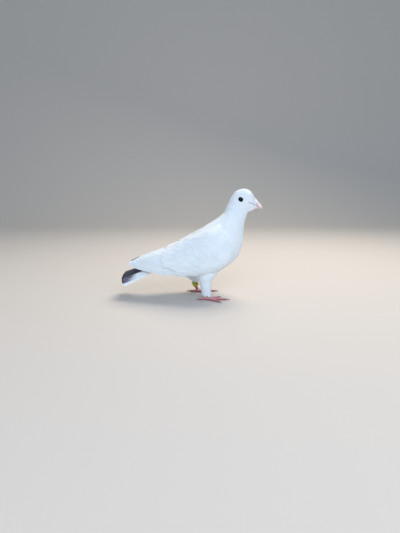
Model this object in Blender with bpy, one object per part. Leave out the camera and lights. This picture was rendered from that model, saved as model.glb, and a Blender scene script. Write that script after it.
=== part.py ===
"""A life-size homing pigeon standing on a floor, one object for each part that a person would name.

The frame is metres with +X the way the bird faces, +Y its left and +Z up. The origin is on the floor under
the middle of the model's box. Lengths below are in millimetres and become metres where a mesh is made. Their
x is counted from a line just ahead of the left foot, and mesh_object moves it to the middle of the box.
"""

import math

import bmesh
import bpy
import numpy as np

MM = 0.001
GAP = 0.3                     # kept between two parts that touch
SHARPEST = 1.6                # most that growing by the gap moves a sharp corner, in gaps

# Body sections from the tail root to the bill: ridge of the back (x, z), keel side (x, z), half width,
# level of the widest point from keel 0 to ridge 1, squareness (2 is an ellipse).
BODY = np.array([
    (-68.0, 73.0, -63.0, 47.0, 14.0, 0.50, 2.0),      # tail root
    (-45.0, 90.0, -38.0, 41.0, 26.0, 0.50, 2.1),      # rump
    (-18.0, 107.3, -8.0, 38.0, 34.5, 0.50, 2.2),      # hips
    (5.0, 124.5, 21.5, 40.0, 38.5, 0.48, 2.2),        # loins
    (21.0, 134.6, 46.5, 53.6, 39.5, 0.47, 2.1),       # ribs
    (30.5, 140.8, 65.5, 70.5, 38.0, 0.46, 2.0),       # shoulders
    (36.5, 145.8, 75.0, 91.5, 32.5, 0.46, 2.0),       # crop
    (41.0, 150.0, 76.5, 115.0, 25.5, 0.48, 2.0),      # neck base
    (44.5, 154.5, 78.5, 133.5, 19.0, 0.50, 2.0),      # middle of the neck
    (47.8, 161.0, 82.6, 148.6, 15.3, 0.52, 2.0),      # throat
    (52.8, 175.0, 86.5, 151.2, 13.2, 0.55, 2.0),      # back of the head
    (61.5, 185.8, 89.2, 152.4, 12.9, 0.58, 2.0),      # back of the crown
    (73.5, 189.6, 91.2, 153.2, 12.2, 0.60, 2.0),      # crown, over the eye
    (83.0, 187.0, 92.9, 154.0, 9.9, 0.60, 2.0),       # forehead
    (89.2, 182.2, 94.3, 154.8, 7.8, 0.58, 2.0),       # brow
    (93.0, 176.8, 95.6, 155.6, 5.9, 0.55, 2.0),       # bill root
])
NECK_CUT = 6.6                # row of BODY where the neck starts
HEAD_CUT = 9.0                # row of BODY where the head starts
LAST_ROW = len(BODY) - 1

# Folded wing from the wrist to the tip: upper edge (x, z, distance from the middle plane), lower edge (the
# same three), greatest distance from the middle plane, level of that from the lower edge 0 to the upper 1.
WING = np.array([
    (35.0, 134.2, 20.0, 64.0, 88.0, 30.0, 36.5, 0.45),
    (20.0, 125.5, 19.0, 46.0, 66.0, 33.0, 39.5, 0.45),
    (1.0, 116.0, 15.0, 20.0, 51.0, 34.0, 40.5, 0.45),
    (-21.0, 105.2, 9.5, -6.0, 44.5, 32.5, 38.0, 0.45),
    (-45.0, 93.4, 5.5, -36.0, 43.0, 30.0, 34.0, 0.45),
    (-68.0, 84.6, 3.5, -64.0, 43.5, 26.5, 29.5, 0.45),
    (-90.0, 77.2, 3.2, -88.0, 48.0, 22.0, 24.5, 0.45),
    (-110.0, 70.6, 3.5, -109.0, 52.8, 17.0, 18.0, 0.45),
    (-125.0, 65.0, 5.0, -125.5, 58.2, 11.0, 12.5, 0.45),
])
# Line of the secondary feathers' tips: level, then how far along the wing.
SECONDARY_TIPS = ((0.0, 0.1, 0.25, 0.47, 0.75, 1.0), (0.51, 0.52, 0.53, 0.615, 0.62, 0.575))
# Tiers of the wing: count, tips forward of the secondary line, length, half width, lift at root and tip.
TIERS = {
    "secondary": (7, 0.0, 0.30, 8.2, 3.3, 4.2),
    "greater_covert": (7, 0.15, 0.20, 7.4, 4.9, 5.8),
    "median_covert": (6, 0.28, 0.18, 7.4, 6.5, 7.3),
}
PRIMARIES = 6
PRIMARY_STEP = 0.055          # each primary's tip falls this much short of the next
PRIMARY_HALF_WIDTH = 7.0
PRIMARY_LIFT = (1.0, 0.7)     # of the outermost one, at root and tip
PRIMARY_LIFT_STEP = 0.3       # each inner primary lies this much over the next
PRIMARY_ROOTS = (0.42, 0.13, 0.13)    # how far along, level of the outermost, and step of level
PRIMARY_TIP_LEVELS = (0.5, 0.1, 0.9)  # of the outermost, step, and most
SHINGLE = 1.05                # each feather lies this much over the next
VANE_THICKNESS = (0.6, 0.8)   # at the edges and at the quill

# Tail: ridge from the root to the end, and the arch that the closed feathers make.
TAIL_ROOT = (-66.0, 68.0)     # x, z of the ridge at the root
TAIL_END = (-137.5, 42.5)
TAIL_HALF_WIDTH = (13.0, 25.0)    # at the root and at the end
TAIL_DROP = (5.0, 14.0)       # from the ridge to the outer edge, root and end
TAIL_CORE_START = -0.15       # how far along, inside the rump
TAIL_CORE_END = 0.42
TAIL_CORE_DEPTH = (22.0, 20.0, 8.0)   # under the feathers' middle, at its start, the tail's root and its end
TAIL_PAIRS = 6
TAIL_FEATHER_HALF = 6.5
TAIL_SHINGLE = 1.0            # each feather lies this much under its inner neighbour
TAIL_LONGEST = 0.62           # how far out across the tail its longest feathers lie
TAIL_SHORTENING = (0.22, 0.5)     # falls with the square of the way from there, inwards and outwards
TAIL_COVERTS = 4
TAIL_COVERT_ROWS = ((1.3, 0.46), (-7.6, 0.62))    # height over the feathers' middle, reach of the row
TAIL_COVERT_HALF = 5.0

EYE_CENTRE = (69.2, 8.2, 172.1)
EYE_RADIUS = 5.2
LID_RADIUS = 5.0              # of the ring that the lids make
LID_THICKNESS = 0.85
LID_OUT = 11.6                # distance of that ring from the middle plane
MOUTH_CORNER = (84.5, 166.2)  # x, z of the corner of the mouth
MOUTH_FRONT = (96.5, 161.4)   # where the line meets the bill
MOUTH_DEEP = 1.1              # depth of the line in the cheek
MOUTH_WIDE = 0.7

# Bill sections from the root to the tip: ridge (x, z), cutting edge (x, z), half width.
BILL_WIDEST = 0.15            # level of the greatest width, from the cutting edge 0 to the ridge 1
UPPER_BILL = np.array([
    (93.4, 171.6, 95.0, 162.0, 4.6),
    (97.6, 168.6, 98.2, 160.8, 3.9),
    (101.4, 165.6, 101.4, 159.6, 3.2),
    (104.6, 162.2, 104.6, 158.2, 2.4),
    (106.9, 158.9, 106.7, 156.9, 1.3),
    (107.5, 156.6, 107.2, 155.8, 0.5),
])
LOWER_BILL = np.array([
    (95.2, 161.2, 95.8, 156.2, 4.2),
    (98.3, 160.1, 98.6, 156.3, 3.4),
    (101.5, 158.9, 101.7, 156.4, 2.7),
    (104.3, 157.8, 104.4, 156.3, 1.9),
    (105.7, 157.1, 105.8, 156.2, 0.9),
])
MIDDLE_X = (TAIL_END[0] + UPPER_BILL[-1][0]) / 2     # of the bird's box, which moves to the origin
CERE_LOBE = (95.4, 2.1, 170.2)    # middle of the left lobe
CERE_RADII = (5.6, 2.5, 2.6)      # along the bill, across it and up
CERE_PITCH = 47.0                 # degrees that a lobe leans down the bill
NOSTRIL = (97.2, 3.7, 164.9)      # middle of the left slit, under the front end of its lobe
NOSTRIL_RADII = (2.0, 1.0, 0.4)
NOSTRIL_PITCH = 38.0

# Legs: x, distance from the middle plane and where things are along them.
LEG_Y = 27.0
FOOT_RIGHT_X = 13.5
FOOT_LEFT_X = -4.0
ANKLE_Z = 6.0                 # where the shank meets the foot
SHANK_RADIUS = 2.6
SHANK_SIDES = 10
SHANK_RINGS = 9
HEM_HALF_LENGTH = 8.8         # of the feathers round the shank, front to back
HEM_BEHIND = {"right": 2.5, "left": 7.0}    # of the foot's middle
LEG_FEATHERS = {"right": (14.5, 10.5), "left": (25.0, 24.0)}    # height of the hem at the back and the front
HOCK = {"right": (7.0, 34.0), "left": (-17.0, 32.0)}            # x, z of the bend above the shank
TOE_SPREAD = {"inner": -33.0, "middle": 3.0, "outer": 40.0, "hind": 176.0}   # degrees outwards
TOE_LENGTH = {"inner": 23.0, "middle": 32.0, "outer": 25.0, "hind": 15.0}
CLAW_LENGTH = {"inner": 6.5, "middle": 7.5, "outer": 6.5, "hind": 6.5}
TOE_RADIUS = (2.5, 1.75)      # at the foot and at the claw
RING_RADII = (3.5, 5.3)
RING_HEIGHT = 9.5
RING_Z = 16.0                 # height of the ring's middle

FEATHER_WHITE = (0.80, 0.82, 0.83)
TAIL_SLATE = (0.10, 0.11, 0.14)
HORN_PINK = (0.72, 0.50, 0.47)
CERE_WHITE = (0.78, 0.74, 0.72)
EYE_DARK = (0.012, 0.010, 0.010)
SCALE_RED = (0.55, 0.14, 0.14)
CLAW_GREY = (0.34, 0.29, 0.27)
RING_OLIVE = (0.46, 0.43, 0.04)


def material(name, colour, roughness):
    """A plain finish for one kind of surface, made once."""
    made = bpy.data.materials.get(name)
    if made is None:
        made = bpy.data.materials.new(name)
        made.use_nodes = True
        shader = made.node_tree.nodes["Principled BSDF"]
        shader.inputs["Base Color"].default_value = (*colour, 1.0)
        shader.inputs["Roughness"].default_value = roughness
        shader.inputs["Metallic"].default_value = 0.0
    return made


def mesh_object(name, points, faces, finish=None):
    """An object from points in millimetres, with its faces turned outwards."""
    centred = (np.asarray(points, float) - (MIDDLE_X, 0.0, 0.0)) * MM
    mesh = bpy.data.meshes.new(name)
    mesh.from_pydata(centred.tolist(), [], [list(map(int, face)) for face in faces])
    work = bmesh.new()
    work.from_mesh(mesh)
    bmesh.ops.recalc_face_normals(work, faces=work.faces)
    work.to_mesh(mesh)
    work.free()
    mesh.shade_smooth()
    mesh.set_sharp_from_angle(angle=math.radians(40))
    made = bpy.data.objects.new(name, mesh)
    bpy.context.scene.collection.objects.link(made)
    if finish:
        mesh.materials.append(finish)
    return made


def spline(table, row):
    """Catmull-Rom curve through a table's rows, read at fractional row numbers."""
    row = np.clip(np.asarray(row, float), 0, len(table) - 1)
    padded = np.vstack([2 * table[0] - table[1], table, 2 * table[-1] - table[-2]])
    first = np.minimum(row.astype(int), len(table) - 2)
    t = (row - first)[..., None]
    a, b, c, d = (padded[first + k] for k in range(4))
    return 0.5 * (2 * b + (c - a) * t + (2 * a - 5 * b + 4 * c - d) * t**2 + (3 * b - a - 3 * c + d) * t**3)


def signed_power(value, power):
    return np.sign(value) * np.abs(value) ** power


def body_skin(row, angle):
    """Point of the body's skin: row along BODY, angle round from the ridge of the back, left side first."""
    row, angle = np.broadcast_arrays(row, angle)
    ridge_x, ridge_z, keel_x, keel_z, half, level, square = np.moveaxis(spline(BODY, row), -1, 0)
    rise = signed_power(np.cos(angle), 2 / square)
    height = np.where(rise > 0, level + (1 - level) * rise, level + level * rise)
    side = half * signed_power(np.sin(angle), 2 / square)
    return np.stack([keel_x + (ridge_x - keel_x) * height, side, keel_z + (ridge_z - keel_z) * height], -1)


def loft(name, rings, finish=None):
    """A closed body through rings of equally many points, with a flat cap at each end."""
    rings = np.asarray(rings)
    count, around = rings.shape[:2]
    faces = []
    for i in range(count - 1):
        for j in range(around):
            k = (j + 1) % around
            faces.append((i * around + j, i * around + k, (i + 1) * around + k, (i + 1) * around + j))
    faces.append(range(around))
    faces.append(range((count - 1) * around, count * around))
    return mesh_object(name, rings.reshape(-1, 3), faces, finish)


def body_part(name, first, last, rows, around):
    """A stretch of the body between two rows. Its first ring steps in by the gap to the part before it."""
    angles = np.arange(around) * math.tau / around
    rings = body_skin(np.linspace(first, last, rows)[:, None], angles[None, :])
    if first > 0:
        normal = np.cross(rings[0][1] - rings[0][0], rings[0][around // 3] - rings[0][0])
        normal *= np.sign(normal @ (rings[1].mean(0) - rings[0].mean(0)))
        rings[0] += GAP * normal / np.linalg.norm(normal)
    return loft(name, rings, material("feather_white", FEATHER_WHITE, 0.75))


def evaluated_mesh(made):
    graph = bpy.context.evaluated_depsgraph_get()
    return bpy.data.meshes.new_from_object(made.evaluated_get(graph))


def keep_largest(mesh):
    """Leaves only the mesh's largest closed surface, without scraps that touch it along a line."""
    work = bmesh.new()
    work.from_mesh(mesh)
    left = set(work.faces)
    islands = []
    while left:
        island = {left.pop()}
        edge = list(island)
        while edge:
            for line in edge.pop().edges:
                for face in line.link_faces if len(line.link_faces) == 2 else ():
                    if face in left:
                        left.discard(face)
                        island.add(face)
                        edge.append(face)
        islands.append(island)
    islands.sort(key=lambda found: sum(face.calc_area() for face in found))
    spare = [face for island in islands[:-1] for face in island]
    bmesh.ops.delete(work, geom=spare, context="FACES")
    work.to_mesh(mesh)
    work.free()


def combine(made, others, operation, solver="EXACT"):
    """Joins others to made, or cuts them from it, in one Boolean that is applied. The others are removed."""
    group = bpy.data.collections.new(made.name + "_pieces")
    bpy.context.scene.collection.children.link(group)
    for other in others:
        bpy.context.scene.collection.objects.unlink(other)
        group.objects.link(other)
    boolean = made.modifiers.new("join", "BOOLEAN")
    boolean.operation = operation
    boolean.operand_type = "COLLECTION"
    boolean.collection = group
    boolean.solver = solver
    bpy.context.view_layer.update()
    joined = evaluated_mesh(made)
    made.modifiers.clear()
    old = made.data
    made.data = joined
    joined.name = made.name
    bpy.data.meshes.remove(old)
    for other in others:
        bpy.data.objects.remove(other)
    bpy.data.collections.remove(group)
    keep_largest(made.data)
    return made


def swollen(made, by=GAP):
    """A copy of an object grown outwards, which cuts its neighbours back by the gap."""
    copy = made.copy()
    copy.data = made.data.copy()
    copy.name = made.name + "_swollen"
    bpy.context.scene.collection.objects.link(copy)
    work = bmesh.new()
    work.from_mesh(copy.data)
    work.normal_update()
    moves = [vert.normal * (by * MM * min(vert.calc_shell_factor(), SHARPEST)) for vert in work.verts]
    for vert, move in zip(work.verts, moves):
        vert.co += move
    work.to_mesh(copy.data)
    work.free()
    return copy


def ball(name, centre, radii, pitch=0.0, segments=16, finish=None):
    """An ellipsoid whose long axis leans forward and down by pitch degrees."""
    lat = np.linspace(0, math.pi, segments // 2 + 1)[1:-1]
    lon = np.arange(segments) * math.tau / segments
    ring = np.stack(np.broadcast_arrays(
        np.cos(lat)[:, None], np.sin(lat)[:, None] * np.cos(lon), np.sin(lat)[:, None] * np.sin(lon)), -1)
    points = np.vstack([[(1.0, 0.0, 0.0)], ring.reshape(-1, 3), [(-1.0, 0.0, 0.0)]]) * radii
    lean = math.radians(pitch)
    turn = np.array([[math.cos(lean), 0, math.sin(lean)], [0, 1, 0], [-math.sin(lean), 0, math.cos(lean)]])
    points = points @ turn.T + centre
    rows, last = len(lat), len(points) - 1
    faces = []
    for j in range(segments):
        k = (j + 1) % segments
        faces.append((0, 1 + j, 1 + k))
        faces.append((last, last - segments + k, last - segments + j))
        for i in range(rows - 1):
            a, b = 1 + i * segments, 1 + (i + 1) * segments
            faces.append((a + j, b + j, b + k, a + k))
    return mesh_object(name, points, faces, finish)


def tube(name, path, radii, sides=10, finish=None):
    """A closed tube of varying radius along a path of points. Its first section stands upright."""
    path = np.asarray(path, float)
    way = np.gradient(path, axis=0)
    way[0][2] = 0.0
    way /= np.linalg.norm(way, axis=1)[:, None]
    side = np.cross(way, (0.0, 0.0, 1.0))
    side /= np.linalg.norm(side, axis=1)[:, None]
    up = np.cross(side, way)
    turn = np.arange(sides) * math.tau / sides
    radii = np.asarray(radii, float)[:, None, None]
    rings = path[:, None] + radii * (side[:, None] * np.cos(turn)[None, :, None]
                                     + up[:, None] * np.sin(turn)[None, :, None])
    return loft(name, rings, finish)


def torus(name, centre, major, minor, sides=16, around=6):
    """A ring that faces sideways, as the lids do round an eye."""
    turn = np.arange(sides) * math.tau / sides
    small = np.arange(around) * math.tau / around
    reach = major + minor * np.cos(small)
    points = np.stack(np.broadcast_arrays(
        centre[0] + reach * np.cos(turn)[:, None],
        centre[1] + minor * np.sin(small),
        centre[2] + reach * np.sin(turn)[:, None]), -1)
    faces = []
    for i in range(sides):
        for j in range(around):
            a, b = (i + 1) % sides, (j + 1) % around
            faces.append((i * around + j, i * around + b, a * around + b, a * around + j))
    return mesh_object(name, points.reshape(-1, 3), faces)


def mirrored_y(point, side):
    return (point[0], point[1] * side, point[2])


def build_head():
    """The skull with its feathers: lids raised round each eye, sockets, and the line of the mouth."""
    head = body_part("head", HEAD_CUT, LAST_ROW, 14, 20)
    lids = [torus("lid", (EYE_CENTRE[0], side * LID_OUT, EYE_CENTRE[2]), LID_RADIUS, LID_THICKNESS)
            for side in (1, -1)]
    combine(head, lids, "UNION")
    cutters = []
    for side in (1, -1):
        cutters.append(ball("socket", mirrored_y(EYE_CENTRE, side), (EYE_RADIUS + GAP,) * 3, segments=18))
        cutters.append(mouth_cutter(side))
    return combine(head, cutters, "DIFFERENCE")


def mouth_cutter(side):
    """A thin wedge that draws the line of the mouth on one cheek."""
    corner, front = np.array(MOUTH_CORNER), np.array(MOUTH_FRONT)
    steps = np.linspace(0, 1, 5)
    points = []
    for t in steps:
        x, z = corner + (front - corner) * t
        surface = cheek_width(x, z)
        for out, up in ((-MOUTH_DEEP, 0.05), (3.0, 0.5), (3.0, -0.5), (-MOUTH_DEEP, -0.05)):
            points.append((x, side * (surface + out), z + up * MOUTH_WIDE * (0.6 + t)))
    return loft("mouth", np.array(points).reshape(len(steps), 4, 3))


def cheek_width(x, z):
    """Half width of the head where the side view shows x, z, from the nearest of a fine net of skin points."""
    rows = np.linspace(HEAD_CUT, LAST_ROW, 120)
    net = body_skin(rows[:, None], np.linspace(0.02, math.pi - 0.02, 120)[None, :])
    away = np.hypot(net[..., 0] - x, net[..., 2] - z)
    return net[..., 1].flat[away.argmin()]


def bill_half(name, table, finish, around=12, rows=9):
    """One half of the bill: an arched section over a nearly flat edge that closes on the other half."""
    sections = spline(table, np.linspace(0, len(table) - 1, rows))
    turn = np.arange(around) * math.tau / around
    rings = []
    for ridge_x, ridge_z, edge_x, edge_z, half in sections:
        rise = BILL_WIDEST + np.where(np.cos(turn) > 0, 1 - BILL_WIDEST, BILL_WIDEST) * np.cos(turn)
        rings.append(np.stack([edge_x + (ridge_x - edge_x) * rise, half * np.sin(turn),
                               edge_z + (ridge_z - edge_z) * rise], -1))
    return loft(name, rings, finish)


def build_bill(head):
    horn = material("horn_pink", HORN_PINK, 0.4)
    upper = bill_half("bill_upper", UPPER_BILL, horn)
    lower_table = LOWER_BILL[:, [2, 3, 0, 1, 4]]
    lower = bill_half("bill_lower", lower_table, horn, rows=8)
    combine(upper, [swollen(head)], "DIFFERENCE")
    combine(lower, [swollen(head)], "DIFFERENCE")
    combine(lower, [swollen(upper)], "DIFFERENCE")
    slits = [ball("nostril", mirrored_y(NOSTRIL, side), NOSTRIL_RADII, NOSTRIL_PITCH, 8) for side in (1, -1)]
    combine(upper, slits, "DIFFERENCE")
    lobes = [ball("cere", mirrored_y(CERE_LOBE, side), CERE_RADII, CERE_PITCH, 14) for side in (1, -1)]
    cere = combine(lobes[0], lobes[1:], "UNION")
    cere.data.materials.append(material("cere_white", CERE_WHITE, 0.8))
    combine(cere, [swollen(upper)], "DIFFERENCE")
    combine(cere, [swollen(head)], "DIFFERENCE")
    return upper, lower, cere


def build_eyes():
    for side, name in ((1, "eye_left"), (-1, "eye_right")):
        ball(name, mirrored_y(EYE_CENTRE, side), (EYE_RADIUS,) * 3, segments=14,
             finish=material("eye_dark", EYE_DARK, 0.08))


def wing_carrier(along, level):
    """Point of the folded wing's inner surface on the left: along 0 to 1, level 0 to 1 across."""
    along, level = np.broadcast_arrays(along, level)
    table = np.moveaxis(spline(WING, along * (len(WING) - 1)), -1, 0)
    top_x, top_z, top_y, low_x, low_z, low_y, wide, widest = table
    above = np.clip((level - widest) / (1 - widest), 0, 1)
    below = np.clip((widest - level) / widest, 0, 1)
    side = np.where(level > widest,
                    top_y + (wide - top_y) * np.sqrt(1 - above**2),
                    low_y + (wide - low_y) * np.sqrt(1 - below**2))
    return np.stack([low_x + (top_x - low_x) * level, side, low_z + (top_z - low_z) * level], -1)


def wing_point(along, level, lift):
    """Point lift millimetres outside the wing's inner surface."""
    along, level, lift = np.broadcast_arrays(along, level, lift)
    step = 0.01
    forward = wing_carrier(np.clip(along + step, 0, 1), level) - wing_carrier(np.clip(along - step, 0, 1), level)
    inner = np.clip(level, 0.04, 0.96)
    upward = wing_carrier(along, inner + step) - wing_carrier(along, inner - step)
    out = np.cross(forward, upward)
    out /= np.linalg.norm(out, axis=-1)[..., None]
    out *= np.sign(out[..., 1])[..., None]
    return wing_carrier(along, level) + out * lift[..., None]


def sheet_solid(name, top, bottom, finish=None):
    """A closed plate between two nets of points, with the same diagonals on both faces."""
    rows, cols = top.shape[:2]
    size = rows * cols
    faces = []
    for i in range(rows - 1):
        for j in range(cols - 1):
            a, b, c, d = i * cols + j, i * cols + j + 1, (i + 1) * cols + j + 1, (i + 1) * cols + j
            faces += [(a, b, c), (a, c, d), (size + a, size + c, size + b), (size + a, size + d, size + c)]
    rim = ([j for j in range(cols)] + [i * cols + cols - 1 for i in range(1, rows)]
           + [(rows - 1) * cols + j for j in range(cols - 2, -1, -1)] + [i * cols for i in range(rows - 2, 0, -1)])
    for a, b in zip(rim, rim[1:] + rim[:1]):
        faces += [(a, size + a, size + b), (a, size + b, b)]
    return mesh_object(name, np.vstack([top.reshape(-1, 3), bottom.reshape(-1, 3)]), faces, finish)


def vane(name, place, root, tip, half, lift, tilt):
    """A flight feather or covert: a thin strip with a rounded end, lying on the surface that place gives.

    root and tip are (along, across), half is the half width as a function of along, lift is the height of
    the quill at both ends, and the edge nearer to across 0 stands tilt higher than the quill.
    """
    steps = np.array([0.0, 0.35, 0.7, 0.92, 1.0])[:, None]
    spread = np.array([0.6, 0.95, 1.0, 0.8, 0.35])[:, None]
    edge = np.array([-1.0, 0.0, 1.0])[None, :]
    along = root[0] + (tip[0] - root[0]) * (steps - 0.03 * edge**2 * steps**4)
    middle = root[1] + (tip[1] - root[1]) * steps
    across = middle + edge * spread * half(along)
    height = lift[0] + (lift[1] - lift[0]) * steps - tilt * edge * spread
    thick = VANE_THICKNESS[1] + (VANE_THICKNESS[0] - VANE_THICKNESS[1]) * np.abs(edge) + 0 * steps
    return sheet_solid(name, place(along, across, height + thick / 2), place(along, across, height - thick / 2))


def wing_place(side):
    """Points on one wing: level is kept inside the wing's edges without folding a vane."""
    def place(along, level, lift):
        inside = 0.5 + (level - 0.5) / np.maximum(1.0, np.abs(level - 0.5).max() / 0.5)
        return wing_point(along, inside, lift) * (1, side, 1)
    return place


def wing_height(along):
    """Millimetres from the lower edge of the wing to its upper edge."""
    table = spline(WING, np.clip(along, 0, 1) * (len(WING) - 1))
    return np.hypot(table[..., 0] - table[..., 3], table[..., 1] - table[..., 4])


def pad_lift(along, level):
    """Thickness of the feathers over the arm. It thins to nothing at the bend, the edges and the rear."""
    rise = np.sin(math.pi / 2 * np.clip(along / 0.2, 0, 1))
    body = np.interp(along, (0.0, 0.22, 0.34, 0.46, 0.6), (7.4, 7.4, 5.6, 3.4, 1.4))
    edge = np.clip(np.minimum(level, 1 - level) / 0.16, 0, 1) ** 0.5
    return -1.0 + (body + 1.0) * (0.05 + 0.95 * rise) * (0.25 + 0.75 * edge)


def build_wing(name, side, torso):
    """A pad over the arm with coverts, secondaries and primaries rooted in it, each tier over the next."""
    along, level = np.meshgrid(np.linspace(0, 0.6, 13), np.linspace(0, 1, 9), indexing="ij")
    top = wing_point(along, level, pad_lift(along, level))
    bottom = wing_carrier(along, level)
    bottom[..., 1] -= np.interp(along, (0, 0.45, 0.6), (4.0, 4.0, 0.6))
    wing = sheet_solid(name, top * (1, side, 1), bottom * (1, side, 1),
                       material("feather_white", FEATHER_WHITE, 0.75))
    place = wing_place(side)
    vanes = []
    for tier, (count, forward, length, half, root_lift, tip_lift) in TIERS.items():
        for i in range(count):
            level = 0.06 + 0.9 * i / (count - 1)
            tip = np.interp(level, *SECONDARY_TIPS) - forward
            vanes.append(vane(tier, place, (tip - length, level), (tip, level),
                              lambda along, half=half: half / wing_height(along),
                              (root_lift, tip_lift), SHINGLE))
    for i in range(PRIMARIES):
        level, step, most = PRIMARY_TIP_LEVELS
        tip = (1.0 - PRIMARY_STEP * i, min(most, level + step * i))
        root = (PRIMARY_ROOTS[0], PRIMARY_ROOTS[1] + PRIMARY_ROOTS[2] * i)
        lift = [reach + PRIMARY_LIFT_STEP * i for reach in PRIMARY_LIFT]
        vanes.append(vane("primary", place, root, tip,
                          lambda along: np.minimum(0.46, PRIMARY_HALF_WIDTH / wing_height(along)),
                          lift, SHINGLE))
    combine(wing, vanes, "UNION")
    return combine(wing, [swollen(torso)], "DIFFERENCE")


def wing_room(side):
    """The space that a wing fills, straight out sideways, which the thigh is cut clear of."""
    along, level = np.meshgrid(np.linspace(0, 0.7, 9), np.linspace(0, 1, 7), indexing="ij")
    carrier = wing_carrier(along, level)
    carrier[:, 0, 2] -= 2.5 * GAP
    overhang = np.stack([0 * level, 16.0 + 0 * level, -7.0 * (level < 0.01)], -1)
    outer = (carrier + overhang) * (1, side, 1)
    inner = (carrier - (0.0, 4.0 + 2 * GAP, 0.0)) * (1, side, 1)
    return sheet_solid("wing_room", outer, inner)


def tail_point(along, across, lift):
    """Point of the arched tail: along 0 to 1, across -1 to 1, lift above the feathers' middle."""
    along, across, lift = np.broadcast_arrays(along, across, lift)
    x = TAIL_ROOT[0] + (TAIL_END[0] - TAIL_ROOT[0]) * along
    z = TAIL_ROOT[1] + (TAIL_END[1] - TAIL_ROOT[1]) * along
    drop = TAIL_DROP[0] + (TAIL_DROP[1] - TAIL_DROP[0]) * along
    return np.stack([x, tail_half_width(along) * across, z - drop * across**2 + lift], -1)


def tail_half_width(along):
    return TAIL_HALF_WIDTH[0] + (TAIL_HALF_WIDTH[1] - TAIL_HALF_WIDTH[0]) * along


def tail_reach(middle):
    """How far along the tail the feather ends whose middle lies that far across it."""
    inner, outer = TAIL_SHORTENING
    return 1.0 - (inner if middle < TAIL_LONGEST else outer) * (middle - TAIL_LONGEST) ** 2


def build_tail(torso):
    """Twelve tail feathers, the middle pair uppermost, rooted in a core with coverts above and below."""
    core = (TAIL_CORE_START, 0.0, TAIL_CORE_END)
    along, across = np.meshgrid(np.linspace(core[0], core[2], 6), np.linspace(-1, 1, 11), indexing="ij")
    blunt = np.interp(along, core, (1.0, 1.0, 0.8))
    deep = np.interp(along, core, TAIL_CORE_DEPTH) * (1 - 0.55 * across**2)
    above = np.interp(along, core, (2.0, 2.0, 0.4)) * (1 - across**2)
    tail = sheet_solid("tail", tail_point(along, across * blunt, above), tail_point(along, across * blunt, -deep),
                       material("tail_slate", TAIL_SLATE, 0.6))
    vanes = []
    for side in (1, -1):
        for i in range(TAIL_PAIRS):
            middle = (i + 0.5) / TAIL_PAIRS
            reach = tail_reach(middle)
            lift = 0.4 - TAIL_SHINGLE * i
            vanes.append(vane("rectrix", tail_point, (0.05, side * 0.85 * middle), (reach, side * 0.93 * middle),
                              lambda along: TAIL_FEATHER_HALF / tail_half_width(along),
                              (lift - 1.0, lift), 0.0))
    for i in range(TAIL_COVERTS):
        across = (2 * i / (TAIL_COVERTS - 1) - 1) * 0.62
        for above, reach in TAIL_COVERT_ROWS:
            vanes.append(vane("covert", tail_point, (0.0, across), (reach - 0.1 * abs(across), across),
                              lambda along: TAIL_COVERT_HALF / tail_half_width(along),
                              (above - 0.3, above + 0.5 * np.sign(above) - 0.35 * (i % 2)), 0.0))
    combine(tail, vanes, "UNION")
    return combine(tail, [swollen(torso)], "DIFFERENCE")


def toe_path(x, y, turn, length, count):
    """Points along a toe from the middle of the foot, with turn in radians from straight ahead."""
    reach = np.linspace(0, length, count)
    lift = np.interp(reach / length, (0, 0.25, 1), (3.2, 2.4, 1.75))
    return np.stack([x + reach * math.cos(turn), y + reach * math.sin(turn), lift], -1)


def slab(name, x, y, low, high):
    """A wide flat block that trims a foot at the floor or at the ankle."""
    reach = 90.0
    corners = [(x + a * reach, y + b * reach, z) for a in (-1, 1) for b in (-1, 1) for z in (low, high)]
    sides = [(0, 1, 3, 2), (4, 6, 7, 5), (0, 4, 5, 1), (2, 3, 7, 6), (0, 2, 6, 4), (1, 5, 7, 3)]
    return mesh_object(name, corners, sides)


def build_foot(name, x, side):
    """Four toes joined at the ball of the foot. Their pads are flat on the floor."""
    y = LEG_Y * side
    finish = material("scale_red", SCALE_RED, 0.5)
    hub = ball(name, (x, y, 3.6), (4.4, 3.9, 3.9), segments=12, finish=finish)
    toes = []
    for toe, turn in TOE_SPREAD.items():
        count = 2 * round(TOE_LENGTH[toe] / 4.0)
        path = toe_path(x, y, math.radians(turn) * side, TOE_LENGTH[toe], count)
        radii = np.linspace(*TOE_RADIUS, count) * np.where(np.arange(count) % 2, 1.07, 0.93)
        radii[0] = 1.6
        made = tube("toe", path, radii, sides=8)
        for vert in made.data.vertices:
            vert.co.z = max(vert.co.z, 0.0)
        toes.append(made)
    combine(hub, toes, "UNION")
    slabs = [slab("floor", x, y, -20.0, 0.0), slab("ankle", x, y, ANKLE_Z - GAP, 20.0)]
    return combine(hub, slabs, "DIFFERENCE")


def build_claws(name, x, side):
    """The four claws of a foot, each from the flat end of its toe."""
    for toe, turn in TOE_SPREAD.items():
        lean = math.radians(turn) * side
        t = np.linspace(0, 1, 7)
        reach = TOE_LENGTH[toe] + GAP + CLAW_LENGTH[toe] * t
        height = 1.75 + 1.2 * t - 2.5 * t**2
        path = np.stack([x + reach * math.cos(lean), LEG_Y * side + reach * math.sin(lean), height], -1)
        tube(f"claw_{toe}_{name}", path, 1.3 * (1 - t) ** 0.75 + 0.2, sides=8,
             finish=material("claw_grey", CLAW_GREY, 0.4))


def hem_height(name, x, at):
    """Height of the sloping hem of the leg's feathers over the place at, with the foot at x."""
    back, front = LEG_FEATHERS[name]
    return (back + front) / 2 + (front - back) / (2 * HEM_HALF_LENGTH) * (at - (x - HEM_BEHIND[name]))


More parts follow.
